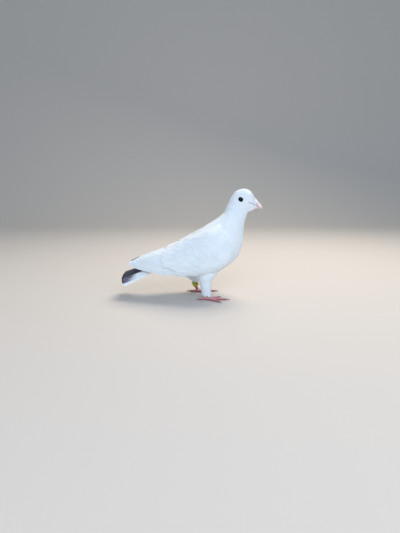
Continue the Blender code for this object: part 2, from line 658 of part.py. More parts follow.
def build_thigh(name, x, side, torso):
    """The feathered upper leg, from the flank down to its hem round the shank."""
    back, front = LEG_FEATHERS[name]
    y = LEG_Y * side
    hock_x = HOCK[name][0]
    turn = np.arange(14) * math.tau / 14
    low = (back + front) / 2
    heights = np.array([62.0, 48.0, 39.0, 33.0, (33.0 + low) / 2, low])
    middle_x = np.array([hock_x + 9, hock_x + 6, hock_x + 3.5, hock_x + 2.5, hock_x + 3.0, x - HEM_BEHIND[name]])
    along = np.array([21.0, 18.0, 14.0, 11.0, 9.4, HEM_HALF_LENGTH])
    across = np.array([16.0, 15.0, 12.0, 9.5, 8.2, 6.6])
    inward = np.array([-6.0, -3.5, -1.0, 0.0, 0.0, 0.0]) * side
    rings = []
    for z, mid, a, b, shift in zip(heights, middle_x, along, across, inward):
        slope = (front - back) / (2 * HEM_HALF_LENGTH) * np.interp(z, (low, 33.0), (1.0, 0.0))
        rings.append(np.stack([mid + a * np.cos(turn), y + shift + b * np.sin(turn),
                               z + slope * a * np.cos(turn)], -1))
    thigh = loft(f"thigh_{name}", rings, material("feather_white", FEATHER_WHITE, 0.75))
    combine(thigh, [swollen(torso)], "DIFFERENCE")
    return combine(thigh, [wing_room(side)], "DIFFERENCE", "MANIFOLD")


def shank_line(name, x, side):
    """Foot end and hock end of the shank."""
    hock_x, hock_z = HOCK[name]
    return np.array((x, LEG_Y * side, ANKLE_Z)), np.array((hock_x, LEG_Y * side, hock_z))


def build_shank(name, x, side):
    """The bare scaled leg, from the flat top of the foot to the hem of the feathers."""
    finish = material("scale_red", SCALE_RED, 0.5)
    low, high = shank_line(name, x, side)
    turn = np.arange(SHANK_SIDES) * math.tau / SHANK_SIDES
    lean = (high[0] - low[0]) / (high[2] - low[2])
    rings = []
    for i, t in enumerate(np.linspace(0, 1, SHANK_RINGS)):
        radius = SHANK_RADIUS * (1 + 0.16 * (2 * t - 1) ** 2) * (1.04 if i % 2 else 0.97)
        across = low[0] + radius * np.cos(turn)
        top = hem_height(name, x, across + lean * (LEG_FEATHERS[name][1] - low[2])) - 1.3 * GAP
        height = low[2] + (top - low[2]) * t
        rings.append(np.stack([across + lean * (height - low[2]), low[1] + radius * np.sin(turn), height], -1))
    return loft(f"shank_{name}", rings, finish)


def build_leg_ring(x, side):
    """The plastic band on the left shank, plain, set square to it."""
    low, high = shank_line("left", x, side)
    way = (high - low) / np.linalg.norm(high - low)
    middle = low + way * (RING_Z - low[2]) / way[2]
    across = np.cross(way, (0.0, 1.0, 0.0))
    across /= np.linalg.norm(across)
    other = np.cross(way, across)
    sides = 20
    turn = np.arange(sides) * math.tau / sides
    spoke = np.cos(turn)[:, None] * across + np.sin(turn)[:, None] * other
    half = RING_HEIGHT / 2
    profile = ((RING_RADII[0], -half), (RING_RADII[1] - 0.4, -half), (RING_RADII[1], -half + 0.5),
               (RING_RADII[1], half - 0.5), (RING_RADII[1] - 0.4, half), (RING_RADII[0], half))
    points = np.array([middle + spoke[i] * radius + way * height
                       for i in range(sides) for radius, height in profile])
    faces = []
    count = len(profile)
    for i in range(sides):
        for j in range(count):
            a, b = (i + 1) % sides, (j + 1) % count
            faces.append((i * count + j, i * count + b, a * count + b, a * count + j))
    return mesh_object("leg_ring", points, faces, material("ring_olive", RING_OLIVE, 0.35))


def main():
    for old in list(bpy.data.objects):
        bpy.data.objects.remove(old)
    torso = body_part("torso", 0, NECK_CUT, 15, 22)
    body_part("neck", NECK_CUT, HEAD_CUT, 8, 20)
    head = build_head()
    build_bill(head)
    build_eyes()
    build_tail(torso)
    for name, side in (("left", 1), ("right", -1)):
        build_wing(f"wing_{name}", side, torso)
        x = FOOT_LEFT_X if name == "left" else FOOT_RIGHT_X
        build_foot(f"foot_{name}", x, side)
        build_claws(name, x, side)
        build_thigh(name, x, side, torso)
        build_shank(name, x, side)
    build_leg_ring(FOOT_LEFT_X, 1)


main()
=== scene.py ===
# %% [markdown]
# A white homing pigeon, standing
#
# This lesson dresses a life-size model of a white homing pigeon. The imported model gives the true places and
# sizes. Here it gets a skin, a coat of small feathers, flight feathers in tiers, a pale bill, dark eyes and
# scaled red feet. Every shape is a function of two numbers, worked out for whole arrays at once.

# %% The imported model
import math

import bpy
import numpy as np
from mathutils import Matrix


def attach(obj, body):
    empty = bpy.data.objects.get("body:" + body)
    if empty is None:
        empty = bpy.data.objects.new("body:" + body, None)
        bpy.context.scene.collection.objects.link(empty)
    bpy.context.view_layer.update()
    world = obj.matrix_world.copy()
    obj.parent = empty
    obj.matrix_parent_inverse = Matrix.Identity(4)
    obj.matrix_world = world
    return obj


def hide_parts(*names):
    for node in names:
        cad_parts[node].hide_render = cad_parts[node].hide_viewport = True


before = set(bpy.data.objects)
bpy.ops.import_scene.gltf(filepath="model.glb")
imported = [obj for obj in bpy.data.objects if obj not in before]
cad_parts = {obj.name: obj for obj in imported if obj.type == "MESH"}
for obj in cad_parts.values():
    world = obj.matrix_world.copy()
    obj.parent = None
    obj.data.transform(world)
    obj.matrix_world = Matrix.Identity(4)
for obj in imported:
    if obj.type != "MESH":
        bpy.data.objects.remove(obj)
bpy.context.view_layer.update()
MM = 0.001
TAU = math.tau
print("packed nodes:", len(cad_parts))

# %% [markdown]
# The camera comes first, because everything is judged through it. A phone took the picture from the height
# of the bird's crown and about 0.7 m away, tipped down by 11.6 degrees, so the horizon is high in it.

# %% The camera
PICTURE_HEIGHT_PX = 533
FOCAL_PX = 401.0
HORIZON_PX = 82     # above the middle of the picture
TIP_DOWN = math.atan(HORIZON_PX / FOCAL_PX)
EYE_POINT = (0.015, -0.70, 0.197)
SENSOR_MM = 36.0

camera = bpy.data.objects.new("camera", bpy.data.cameras.new("camera"))
camera.location = EYE_POINT
camera.rotation_euler = (math.pi / 2 - TIP_DOWN, 0.0, 0.0)
camera.data.sensor_width = SENSOR_MM
camera.data.lens = SENSOR_MM * FOCAL_PX / PICTURE_HEIGHT_PX
camera.data.clip_start = 0.01
bpy.context.scene.collection.objects.link(camera)
bpy.context.scene.camera = camera

# %% [markdown]
# Nearly everything on a bird is a tube in the wide sense: a row of closed rings with a cap at each end. A
# feather, a toe, a claw and the body itself all are. One function turns many rows of rings into one mesh,
# and turns each tube's faces outwards by the sign of its volume. A closed one joins its last ring to its
# first, as a band does.

# %% Meshes from rings
MIDDLE_X = -15.0       # mm, from the line ahead of the left foot to the middle of the model's box


def grid(first, second):
    """Two sequences as the rows and columns of a net."""
    return np.meshgrid(first, second, indexing="ij")


def turns(count):
    """Even angles round a circle."""
    return np.arange(count) * TAU / count


def ring_faces(rings, around, closed):
    """Triangles of one tube: two for each cell between rings, and a fan over each end of an open one."""
    i, j = grid(np.arange(rings - 1 + closed), np.arange(around))
    a = i * around + j
    b = i * around + (j + 1) % around
    quads = np.stack([a, b, b + around, a, b + around, a + around], -1).reshape(-1, 3) % (rings * around)
    if closed:
        return quads
    k = np.arange(1, around - 1)
    last = (rings - 1) * around
    near = np.stack([0 * k, k + 1, k], -1)
    far = np.stack([last + 0 * k, last + k, last + k + 1], -1)
    return np.vstack([quads, near, far])


def tubes(points, closed=False):
    """Points (tubes, rings, around, xyz) as one list of points and outward triangles."""
    count, rings, around = points.shape[:3]
    flat = points.reshape(count, -1, 3)
    faces = ring_faces(rings, around, closed)
    corners = flat[:, faces] - flat.mean(1)[:, None, None]
    volume = np.einsum("nfi,nfi->n", corners[:, :, 0], np.cross(corners[:, :, 1], corners[:, :, 2]))
    every = faces[None] + (np.arange(count) * rings * around)[:, None, None]
    every = np.where((volume < 0)[:, None, None], every[:, :, ::-1], every)
    return flat.reshape(-1, 3), every.reshape(-1, 3)


def piece(name, groups, finish, maps=None, tint=None, stands_for=(), sharp=50, closed=False):
    """An object from groups of tubes in mm. maps holds one UV pair for each point, tint one colour for each."""
    points, faces, count = [], [], 0
    for group in groups:
        some, cells = tubes(group, closed)
        points.append(some)
        faces.append(cells + count)
        count += len(some)
    points, faces = np.vstack(points), np.vstack(faces)
    mesh = bpy.data.meshes.new(name)
    mesh.vertices.add(len(points))
    mesh.vertices.foreach_set("co", ((points - (MIDDLE_X, 0.0, 0.0)) * MM).astype(np.float32).ravel())
    mesh.loops.add(faces.size)
    mesh.loops.foreach_set("vertex_index", faces.astype(np.int32).ravel())
    mesh.polygons.add(len(faces))
    mesh.polygons.foreach_set("loop_start", np.arange(0, faces.size, 3, dtype=np.int32))
    for title, pairs in (maps or {}).items():
        layer = mesh.uv_layers.new(name=title)
        layer.data.foreach_set("uv", pairs.reshape(-1, 2)[faces.ravel()].astype(np.float32).ravel())
    if tint is not None:
        colours = np.ones((count, 4), np.float32)
        colours[:, :3] = tint.reshape(-1, 3)
        layer = mesh.color_attributes.new("tint", "FLOAT_COLOR", "POINT")
        layer.data.foreach_set("color", colours.ravel())
    mesh.update()
    mesh.shade_smooth()
    mesh.set_sharp_from_angle(angle=math.radians(sharp))
    made = bpy.data.objects.new(name, mesh)
    bpy.context.scene.collection.objects.link(made)
    mesh.materials.append(finish)
    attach(made, "root")
    if stands_for:
        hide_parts(*stands_for)
    print(f"{name}: {len(faces)} triangles")
    return made


def spline(table, row):
    """Catmull-Rom curve through a table's rows, read at fractional row numbers and a little past its ends."""
    row = np.asarray(row, float)
    padded = np.vstack([2 * table[0] - table[1], table, 2 * table[-1] - table[-2]])
    first = np.clip(np.floor(row).astype(int), 0, len(table) - 2)
    t = (row - first)[..., None]
    a, b, c, d = (padded[first + k] for k in range(4))
    return 0.5 * (2 * b + (c - a) * t + (2 * a - 5 * b + 4 * c - d) * t**2 + (3 * b - a - 3 * c + d) * t**3)


# %% [markdown]
# Colours are written as the hex values a paint chart would show, and one function makes them linear. One
# small function adds a node to a material, with its settings and what feeds it.

# %% Colours and nodes


def linear(code):
    """sRGB hex to linear: small values are divided by 12.92, the rest follow the 2.4 power."""
    part = np.array([int(code[i:i + 2], 16) for i in (0, 2, 4)]) / 255
    return np.where(part <= 0.04045, part / 12.92, ((part + 0.055) / 1.055) ** 2.4)


def colour(code):
    """The linear colour with alpha, as a shader's socket takes it."""
    return (*linear(code), 1.0)


def add(tree, kind, feeds=(), **settings):
    """Adds a shader node. feeds maps its sockets to a value or to another node's output."""
    made = tree.nodes.new("ShaderNode" + kind)
    for key, value in settings.items():
        setattr(made, key, value)
    for key, value in dict(feeds).items():
        if isinstance(value, bpy.types.NodeSocket):
            tree.links.new(value, made.inputs[key])
        else:
            made.inputs[key].default_value = value
    return made


def surface(name, **values):
    """A new Principled material, its tree and its shader. Underscores in the value names are spaces."""
    made = bpy.data.materials.new(name)
    made.use_nodes = True
    shader = made.node_tree.nodes["Principled BSDF"]
    for key, value in values.items():
        shader.inputs[key.replace("_", " ")].default_value = value
    return made, made.node_tree, shader


def patterned(name, kind, pattern, shade=None, colours=None, relief=None, **values):
    """A material with one pattern on Object coordinates, where a Scale of 1000 gives spots 1 mm wide.

    shade maps the pattern's low and high to two factors, which mix two colours or else multiply the mesh's
    tint. relief is the strength of the bump and its depth in metres.
    """
    made, tree, shader = surface(name, **values)
    where = add(tree, "TexCoord").outputs["Object"]
    height = factor = add(tree, kind, {"Vector": where, **pattern}).outputs[0]
    if shade:
        factor = add(tree, "MapRange", {0: height, **dict(enumerate(shade, 1))}).outputs[0]
    if colours:
        feeds = {"Factor": factor, "A": colour(colours[0]), "B": colour(colours[1])}
        mixed = add(tree, "Mix", feeds, data_type="RGBA")
    elif shade:
        tint = add(tree, "Attribute", attribute_name="tint").outputs["Color"]
        feeds = {"Factor": 1.0, "A": tint, "B": factor}
        mixed = add(tree, "Mix", feeds, data_type="RGBA", blend_type="MULTIPLY")
    if colours or shade:
        tree.links.new(mixed.outputs["Result"], shader.inputs["Base Color"])
    if relief:
        bump = add(tree, "Bump", {"Strength": relief[0], "Distance": relief[1], "Height": height})
        tree.links.new(bump.outputs[0], shader.inputs["Normal"])
    return made


print("white, linear:", linear("FFFFFF"))

# %% [markdown]
# Feathers are keratin webs: matt, a little translucent, combed into fine barbs that slant away from the
# quill. Real barbs lie about 0.3 mm apart, too fine to show here, so they are drawn 0.6 mm apart. The pattern
# follows each feather's own map, whose x is the distance from the quill and y the distance from the root.

# %% The feather finish
BARB_MM = 0.6
BARB_SLANT = 1.1     # mm towards the tip for each mm away from the quill


def feather_finish(name, barbs, roughness):
    """A feather web: its tint from the mesh, fine slanting barbs as bump, and a soft sheen."""
    made, tree, shader = surface(name, Roughness=roughness, Sheen_Weight=0.25, Sheen_Roughness=0.5,
                                 Subsurface_Weight=0.12, Subsurface_Scale=0.002, Specular_IOR_Level=0.3)
    tint = add(tree, "Attribute", attribute_name="tint")
    place = add(tree, "UVMap", uv_map="Vane")
    axes = add(tree, "SeparateXYZ", {0: place.outputs[0]})
    away = add(tree, "Math", {0: axes.outputs[0]}, operation="ABSOLUTE")
    slant = add(tree, "Math", {0: away.outputs[0], 1: BARB_SLANT, 2: axes.outputs[1]},
                operation="MULTIPLY_ADD")
    phase = add(tree, "Math", {0: slant.outputs[0], 1: TAU / BARB_MM}, operation="MULTIPLY")
    wave = add(tree, "Math", {0: phase.outputs[0]}, operation="SINE")
    where = add(tree, "TexCoord")
    cloud = add(tree, "TexNoise", {"Vector": where.outputs["Object"], "Scale": 90.0, "Detail": 3.0})
    shade = add(tree, "MapRange", {0: cloud.outputs[0], 1: 0.3, 2: 0.7, 3: 0.95, 4: 1.0})
    mixed = add(tree, "Mix", {"Factor": 1.0, "A": tint.outputs["Color"], "B": shade.outputs[0]},
                data_type="RGBA", blend_type="MULTIPLY")
    tree.links.new(mixed.outputs["Result"], shader.inputs["Base Color"])
    bump = add(tree, "Bump", {"Strength": barbs, "Distance": 0.00008, "Height": wave.outputs[0]})
    tree.links.new(bump.outputs[0], shader.inputs["Normal"])
    return made


feather_web = feather_finish("keratin_feather_web", 0.3, 0.6)
feather_down = feather_finish("soft_contour_feather", 0.2, 0.8)
WHITE = linear("F1F6FA")
# The next colour is painted shade: a darker, bluer white for the wing pads, seen in the gaps between the small
# coverts.
PAINTED_SHADE_WHITE = linear("DFE9F2")
print("feather finishes ready")

# %% [markdown]
# The body is one surface from the tail root to the bill. Each of its rings lies between a point on the ridge
# of the back and a point on the keel, and is as wide as the bird is there. The rows of the table are those
# rings, and a smooth curve runs through them.

# %% The body's surface
BODY = np.array([
    (-68.0, 73.0, -63.0, 47.0, 14.0, 0.50, 2.0),
    (-45.0, 90.0, -38.0, 41.0, 26.0, 0.50, 2.1),
    (-18.0, 107.3, -8.0, 38.0, 34.5, 0.50, 2.2),
    (5.0, 124.5, 21.5, 40.0, 38.5, 0.48, 2.2),
    (21.0, 134.6, 46.5, 53.6, 39.5, 0.47, 2.1),
    (30.5, 140.8, 65.5, 70.5, 38.0, 0.46, 2.0),
    (36.5, 145.8, 75.0, 91.5, 32.5, 0.46, 2.0),
    (41.0, 150.0, 76.5, 115.0, 25.5, 0.48, 2.0),
    (43.2, 154.5, 78.5, 133.5, 19.0, 0.50, 2.0),
    (46.2, 161.2, 82.6, 148.6, 15.3, 0.52, 2.0),
    (52.8, 175.0, 86.5, 151.2, 13.2, 0.55, 2.0),
    (61.5, 185.8, 89.2, 152.4, 12.9, 0.58, 2.0),
    (74.6, 190.1, 91.2, 153.4, 12.2, 0.60, 2.0),
    (84.6, 187.4, 92.9, 154.4, 9.9, 0.60, 2.0),
    (89.6, 182.2, 94.3, 155.4, 7.8, 0.58, 2.0),
    (93.0, 176.8, 95.6, 156.2, 5.9, 0.55, 2.0),
    (96.5, 170.6, 97.5, 157.2, 3.2, 0.55, 2.0),
])
LAST_ROW = len(BODY) - 1     # the last ring lies inside the bill
COAT_DEPTH = ((0.0, 7.0, 9.0, 11.0, 15.0), (1.3, 1.2, 0.9, 0.6, 0.4))     # by row
NECK_FOLDS = ((8.5, 0.22, 1.8), (9.3, 0.22, 2.1))     # row, width in rows and depth in mm of each crease


def body_ring(row, angle):
    """Point on the outline of the coat: keel + (ridge - keel) * height, and half width * sine to a power."""
    row, angle = np.broadcast_arrays(np.asarray(row, float), np.asarray(angle, float))
    ridge_x, ridge_z, keel_x, keel_z, half, level, square = np.moveaxis(spline(BODY, row), -1, 0)
    rise = np.sign(np.cos(angle)) * np.abs(np.cos(angle)) ** (2 / square)
    height = np.where(rise > 0, level + (1 - level) * rise, level + level * rise)
    side = half * np.sign(np.sin(angle)) * np.abs(np.sin(angle)) ** (2 / square)
    return np.stack([keel_x + (ridge_x - keel_x) * height, side, keel_z + (ridge_z - keel_z) * height], -1)


def off_surface(shape, u, v, lift, du, dv, inner):
    """A surface's point moved by lift along its normal, the cross product of its two slopes.

    inner is a point deep inside for each place, and the normal is turned away from it.
    """
    along = shape(u + du, v) - shape(u - du, v)
    across = shape(u, v + dv) - shape(u, v - dv)
    normal = np.cross(along, across)
    normal /= np.linalg.norm(normal, axis=-1)[..., None] + 1e-9
    point = shape(u, v)
    normal *= np.sign(((point - inner) * normal).sum(-1))[..., None]
    return point + normal * lift[..., None]


def body_place(row, angle, lift):
    """Point lift mm outside the skin, which lies inside the outline by the depth of the coat there."""
    row, angle, lift = np.broadcast_arrays(row, angle, lift)
    depth = np.interp(row, *COAT_DEPTH)
    for at, wide, deep in NECK_FOLDS:
        depth = depth + deep * np.exp(-(((row - at) / wide) ** 2)) * np.abs(np.sin(angle)) ** 2
    core = (body_ring(row, 0.0 * row) + body_ring(row, 0.0 * row + math.pi)) / 2
    return off_surface(body_ring, row, angle + 1e-4, lift - depth, 0.02, 0.02, core)


# %% [markdown]
# The folded wing is a shell beside the body. Going along it leads from the wrist to the tip, and its level
# runs from the lower edge to the upper one. The feathers lie on this shell, each tier higher than the next.

# %% The wing's surface
WING = np.array([
    (35.0, 134.2, 20.0, 64.0, 88.0, 30.0, 36.5),
    (20.0, 125.5, 19.0, 46.0, 66.0, 33.0, 39.5),
    (1.0, 116.0, 15.0, 20.0, 51.0, 34.0, 40.5),
    (-21.0, 105.2, 9.5, -6.0, 44.5, 32.5, 38.0),
    (-45.0, 93.4, 5.5, -36.0, 43.0, 30.0, 34.0),
    (-68.0, 84.6, 3.5, -64.0, 43.5, 26.5, 29.5),
    (-90.0, 77.2, 3.2, -88.0, 48.0, 22.0, 24.5),
    (-110.0, 70.6, 3.5, -109.0, 52.8, 17.0, 18.0),
    (-125.0, 65.0, 5.0, -125.5, 58.2, 11.0, 12.5),
])
WIDEST = 0.45     # level at which the wing is farthest out
OVER_FALL = 0.04     # fall for each mm that the shell runs in over the back
NEAREST_MIDDLE = 0.5     # mm between the innermost feathers and the middle plane
TUCK_END = 0.12     # the front of the wing, up to here, is tucked into the breast
TUCK = ((0.0, 0.15, 0.4, 0.7, 0.9, 1.0), (5.5, 4.5, 2.3, 3.6, 4.8, 1.5))     # mm by level


def wing_shell(along, level):
    """Edge + (wide - edge) * square root of 1 - distance squared, on either side of the widest level.

    Past level 1 it runs straight in over the back, where the innermost feathers of both wings meet.
    """
    along, level = np.broadcast_arrays(along, level)
    over = np.clip(level - 1.0, 0.0, None) * wing_height(along)
    level = np.clip(level, 0.0, 1.0)
    top_x, top_z, top_y, low_x, low_z, low_y, wide = np.moveaxis(spline(WING, along * (len(WING) - 1)), -1, 0)
    above = np.clip((level - WIDEST) / (1 - WIDEST), 0, 1)
    below = np.clip((WIDEST - level) / WIDEST, 0, 1)
    side = np.where(level > WIDEST,
                    top_y + (wide - top_y) * np.sqrt(1 - above**2),
                    low_y + (wide - low_y) * np.sqrt(1 - below**2))
    side = np.where(over > 0, np.maximum(side - over, np.minimum(side, NEAREST_MIDDLE)), side)
    side = side - np.interp(level, *TUCK) * np.clip(1 - along / TUCK_END, 0, 1.2) ** 2
    high = low_z + (top_z - low_z) * level - OVER_FALL * over
    return np.stack([low_x + (top_x - low_x) * level, side, high], -1)


def wing_height(along):
    """Millimetres from the lower edge of the wing to its upper edge."""
    table = spline(WING, along * (len(WING) - 1))
    return np.hypot(table[..., 0] - table[..., 3], table[..., 1] - table[..., 4])


def wing_place(along, level, lift):
    """Point lift mm outside the left wing's shell, upwards where the shell turns in over the back."""
    along, level, lift = np.broadcast_arrays(along, level, lift)
    inner = np.clip(level, 0.04, 0.93)
    slope = wing_shell(along + 0.01, level) - wing_shell(along - 0.01, level)
    normal = np.cross(slope, wing_shell(along, inner + 0.01) - wing_shell(along, inner - 0.01))
    normal /= np.linalg.norm(normal, axis=-1)[..., None]
    normal *= np.sign(normal[..., 1])[..., None]
    turned = np.clip((level - 0.92) / 0.12, 0, 1)[..., None]
    normal = normal * (1 - turned) + np.array((0.4, 0.0, 0.9)) * turned
    return wing_shell(along, level) + normal * lift[..., None]


# %% [markdown]
# The closed tail is a shallow arch. The thighs are upright columns of feathers that end in a sloping hem.

# %% The tail's and the thighs' surfaces
TAIL_ROOT = np.array((-66.0, 68.0))
TAIL_END = np.array((-137.5, 42.5))
TAIL_HALF_WIDTH = (13.0, 25.0)
TAIL_DROP = (5.0, 14.0)
FOOT_X = {"left": -4.0, "right": 13.5}
LEG_SIDE = {"left": 1, "right": -1}
LEG_Y = 27.0
HOCK = {"left": (-17.0, 32.0), "right": (7.0, 34.0)}
HEM = {"left": (25.0, 24.0), "right": (14.5, 10.5)}     # height at the back and the front
HEM_HALF_LENGTH = 8.8
HEM_BEHIND = {"left": 7.0, "right": 2.5}     # of the middle of the foot
HEM_FULLNESS = {"left": 2.4, "right": 0.0}     # of the coat behind the leg


def tail_half(along):
    """Half the width of the closed tail, which grows evenly from root to end."""
    return TAIL_HALF_WIDTH[0] + (TAIL_HALF_WIDTH[1] - TAIL_HALF_WIDTH[0]) * along


def tail_place(along, across, lift):
    """Point on the arch: the ridge line, less a drop that grows with the square of the way across."""
    along, across, lift = np.broadcast_arrays(along, across, lift)
    ridge = TAIL_ROOT + (TAIL_END - TAIL_ROOT) * along[..., None]
    drop = TAIL_DROP[0] + (TAIL_DROP[1] - TAIL_DROP[0]) * along
    across_mm = tail_half(along) * across
    return np.stack([ridge[..., 0], across_mm, ridge[..., 1] - drop * across**2 + lift], -1)


def thigh_table(leg):
    """Rings from flank to hem: middle x, height, half length, half width, shift sideways, slope."""
    back, front = HEM[leg]
    low = (back + front) / 2
    hock = HOCK[leg][0]
    slope = (front - back) / (2 * HEM_HALF_LENGTH)
    full = HEM_FULLNESS[leg]
    return np.array([
        (hock + 9.0, 62.0, 21.0, 16.0, -6.0, 0.0),
        (hock + 6.0, 48.0, 18.0, 15.0, -3.5, 0.0),
        (hock + 3.5 - full / 2, 39.0, 14.0 + full / 2, 12.0, -1.0, 0.0),
        (hock + 2.5 - full, 33.0, 11.0 + full, 9.5, 0.0, 0.0),
        (hock + 3.0 - full / 2, (33.0 + low) / 2, 9.4 + full / 2, 8.2, 0.0, slope / 2),
        (FOOT_X[leg] - HEM_BEHIND[leg], low, HEM_HALF_LENGTH, 6.6, 0.0, slope),
    ])


def thigh_place(leg, depth):
    """The place function of one thigh: an ellipse at each height, tipped by the hem's slope."""
    table = thigh_table(leg)
    side = LEG_SIDE[leg]

    def place(down, angle, lift):
        down, angle, lift = np.broadcast_arrays(down, angle, lift)
        x, z, long, wide, shift, slope = np.moveaxis(spline(table, down), -1, 0)
        reach = (long + lift - depth) * np.cos(angle)
        return np.stack([x + reach, side * (LEG_Y + shift) + (wide + lift - depth) * np.sin(angle),
                         z + slope * reach], -1)
    return place


# %% [markdown]
# Under all its feathers the bird has one skin. The body, thighs, arms and tail root overlap as plain tubes,
# and a voxel remesh welds them into one closed surface, which then takes the place of the solids of flesh.

# %% The skin
SKIN_VOXEL = 0.0013
THIGH_COAT = 0.7


def arm_tube(side):
    """The fleshy arm inside the folded wing, between the shell and the flank."""
    along, turn = grid(np.linspace(0.04, 0.5, 14), turns(20))
    thick = np.interp(along, (0.04, 0.22, 0.5), (1.0, 4.6, 0.2))
    level = 0.5 + 0.42 * np.cos(turn) * np.interp(along, (0.04, 0.15), (0.8, 1.0))
    out = wing_place(along, level, thick * np.clip(np.sin(turn), 0, 1))
    out[..., 1] -= 6.0 * np.clip(-np.sin(turn), 0, 1)
    return out * (1, side, 1)


rows, angles = grid(np.linspace(0.0, LAST_ROW, 128), turns(72))
flesh = [body_place(rows, angles, 0.0)]
for leg in ("left", "right"):
    down, turn = grid(np.linspace(0.0, 5.0, 24), turns(28))
    flesh.append(thigh_place(leg, THIGH_COAT)(down, turn, 0.0 * down))
    flesh.append(arm_tube(LEG_SIDE[leg]))
along, turn = grid(np.linspace(-0.25, 0.36, 12), turns(28))
root = tail_place(along, 0.92 * np.sin(turn), 0.0)
thick = np.where(np.cos(turn) > 0, 0.6, 9.0) * np.cos(turn)
root[..., 2] += thick * np.interp(along, (-0.25, 0.36), (1.6, 0.5)) - 1.5
flesh.append(root)

# Thin living skin: matt and faintly pink, with pores about 1 mm apart, seen only where feathers part.
bare_skin = patterned("bird_skin", "TexNoise", {"Scale": 900.0}, relief=(0.3, 0.0002),
                      Base_Color=colour("EFEAEA"), Roughness=0.75, Subsurface_Weight=0.1,
                      Subsurface_Scale=0.002)
FLESH_NODES = ("torso", "neck", "head", "thigh_left", "thigh_right")
skin = piece("skin", [part[None] for part in flesh], bare_skin, stands_for=FLESH_NODES)
remesh = skin.modifiers.new("weld", "REMESH")
remesh.mode = "VOXEL"
remesh.voxel_size = SKIN_VOXEL
remesh.use_smooth_shade = True
bpy.context.view_layer.update()
welded = bpy.data.meshes.new_from_object(skin.evaluated_get(bpy.context.evaluated_depsgraph_get()))
skin.modifiers.clear()
skin.data = welded
print("skin:", len(welded.polygons), "faces")

# %% [markdown]
# Small feathers cover the skin evenly. Their roots follow a quasi-random sequence, which spaces points well
# without making rows that the eye would catch. Equal steps of the sequence are equal shares of the skin's
# area, divided by the square of the feather size that is wanted there.

# %% Spreading roots over a surface
rng = np.random.default_rng(11)
GOLDEN = 1.32471795724474602596     # its powers give the steadiest spacing in two directions


def spread(place, u_range, v_range, spacing):
    """Roots on a surface, spaced by a table of mm over u, with mm for each unit of u and v at each root.

    The share of each cell is |slope u x slope v| / spacing^2. Running sums of the shares turn two even
    sequences into u and then v.
    """
    u, v = grid(np.linspace(*u_range, 240), np.linspace(*v_range, 160))
    spot = place(u, v, 0.0)
    across_u = np.gradient(spot, axis=0)
    across_v = np.gradient(spot, axis=1)
    share = np.linalg.norm(np.cross(across_u, across_v), axis=-1) / np.interp(u, *spacing) ** 2
    count = int(share.sum() * 1.3)
    k = np.arange(1, count + 1)
    first, second = (0.5 + k / GOLDEN) % 1, (0.5 + k / GOLDEN**2) % 1
    by_row = np.cumsum(share.sum(1))
    at = np.interp(first, by_row / by_row[-1], np.arange(len(u)))
    by_cell = np.cumsum(share, 1)[np.clip(at.astype(int), 0, len(u) - 1)]
    by_cell /= by_cell[:, -1:]
    column = (by_cell < second[:, None]).sum(1) + rng.random(count) - 0.5
    root_u = np.interp(at, np.arange(len(u)), u[:, 0])
    root_v = np.interp(column, np.arange(v.shape[1]), v[0])
    step_u, step_v = (u_range[1] - u_range[0]) / 1000, (v_range[1] - v_range[0]) / 1000
    here = place(root_u, root_v, 0.0)
    scale_u = np.linalg.norm(place(root_u + step_u, root_v, 0.0) - here, axis=-1) / abs(step_u)
    scale_v = np.linalg.norm(place(root_u, root_v + step_v, 0.0) - here, axis=-1) / abs(step_v)
    return root_u, root_v, scale_u, scale_v


# %% [markdown]
# A contour feather is a thin leaf with a round, slightly uneven tip. Its ring has five points over the top
# and closes underneath, so every feather is a closed solid. Its tip lifts a little over its neighbours.

# %% Small feathers
LEAF_STEPS = np.array([0.0, 0.3, 0.58, 0.8, 0.94, 1.0])
LEAF_WIDTH = np.array([0.4, 0.8, 1.0, 0.86, 0.52, 0.16])
LEAF_ACROSS = np.array([-1.0, -0.5, 0.0, 0.5, 1.0])
BAKE_PATCH = 0.003


def bake_map(root_u, root_v, across, along):
    """The OFBake map: a patch 0.003 wide for each feather, at its root's place on the skin's unwrap."""
    centre = np.stack([root_u, root_v], -1)[:, None, None] * 0.98 + 0.01
    inside = np.stack(np.broadcast_arrays(across, along), -1) * BAKE_PATCH / 2
    return centre + inside


def leaves(place, roots, unwrap, length, half, lift, way=-1, yaw=0.0, camber=0.22, tone=0.05):
    """Leaves on a surface: t * length along, s * half * width(t) across, turned by yaw, lifted at the tip.

    way says which way u runs down the coat. unwrap gives each root's place on a unit square.
    """
    u, v, scale_u, scale_v = roots
    count = len(u)
    t, s = LEAF_STEPS[None, :, None], LEAF_ACROSS[None, None, :]
    wide = LEAF_WIDTH[None, :, None]
    size = (1 + 0.12 * rng.standard_normal(count))[:, None, None]
    turn = (yaw + 0.09 * rng.standard_normal(count))[:, None, None]
    ragged = 1 + 0.04 * rng.standard_normal((count, 1, len(LEAF_ACROSS))) * t**6
    ahead = t * (length[:, None, None] if np.ndim(length) else length) * size * ragged
    aside = s * wide * (half[:, None, None] if np.ndim(half) else half) * size
    step_u = way * (ahead * np.cos(turn) - aside * np.sin(turn)) / scale_u[:, None, None]
    step_v = (ahead * np.sin(turn) + aside * np.cos(turn)) / scale_v[:, None, None]
    root_lift, tip_lift = lift
    high = root_lift + (tip_lift - root_lift) * t + camber * (1 - s**2) * wide
    high = high + 0.12 * rng.standard_normal((count, 1, 1)) * t
    points = place(u[:, None, None] + step_u, v[:, None, None] + step_v, high + 0 * step_u)
    vane = np.stack(np.broadcast_arrays(aside, ahead), -1)
    tint = WHITE * (1 - tone * rng.random((count, 1, 1, 1))) + 0 * points
    return points, {"Vane": vane, "OFBake": bake_map(*unwrap(u, v), s, t * 2 - 1)}, tint


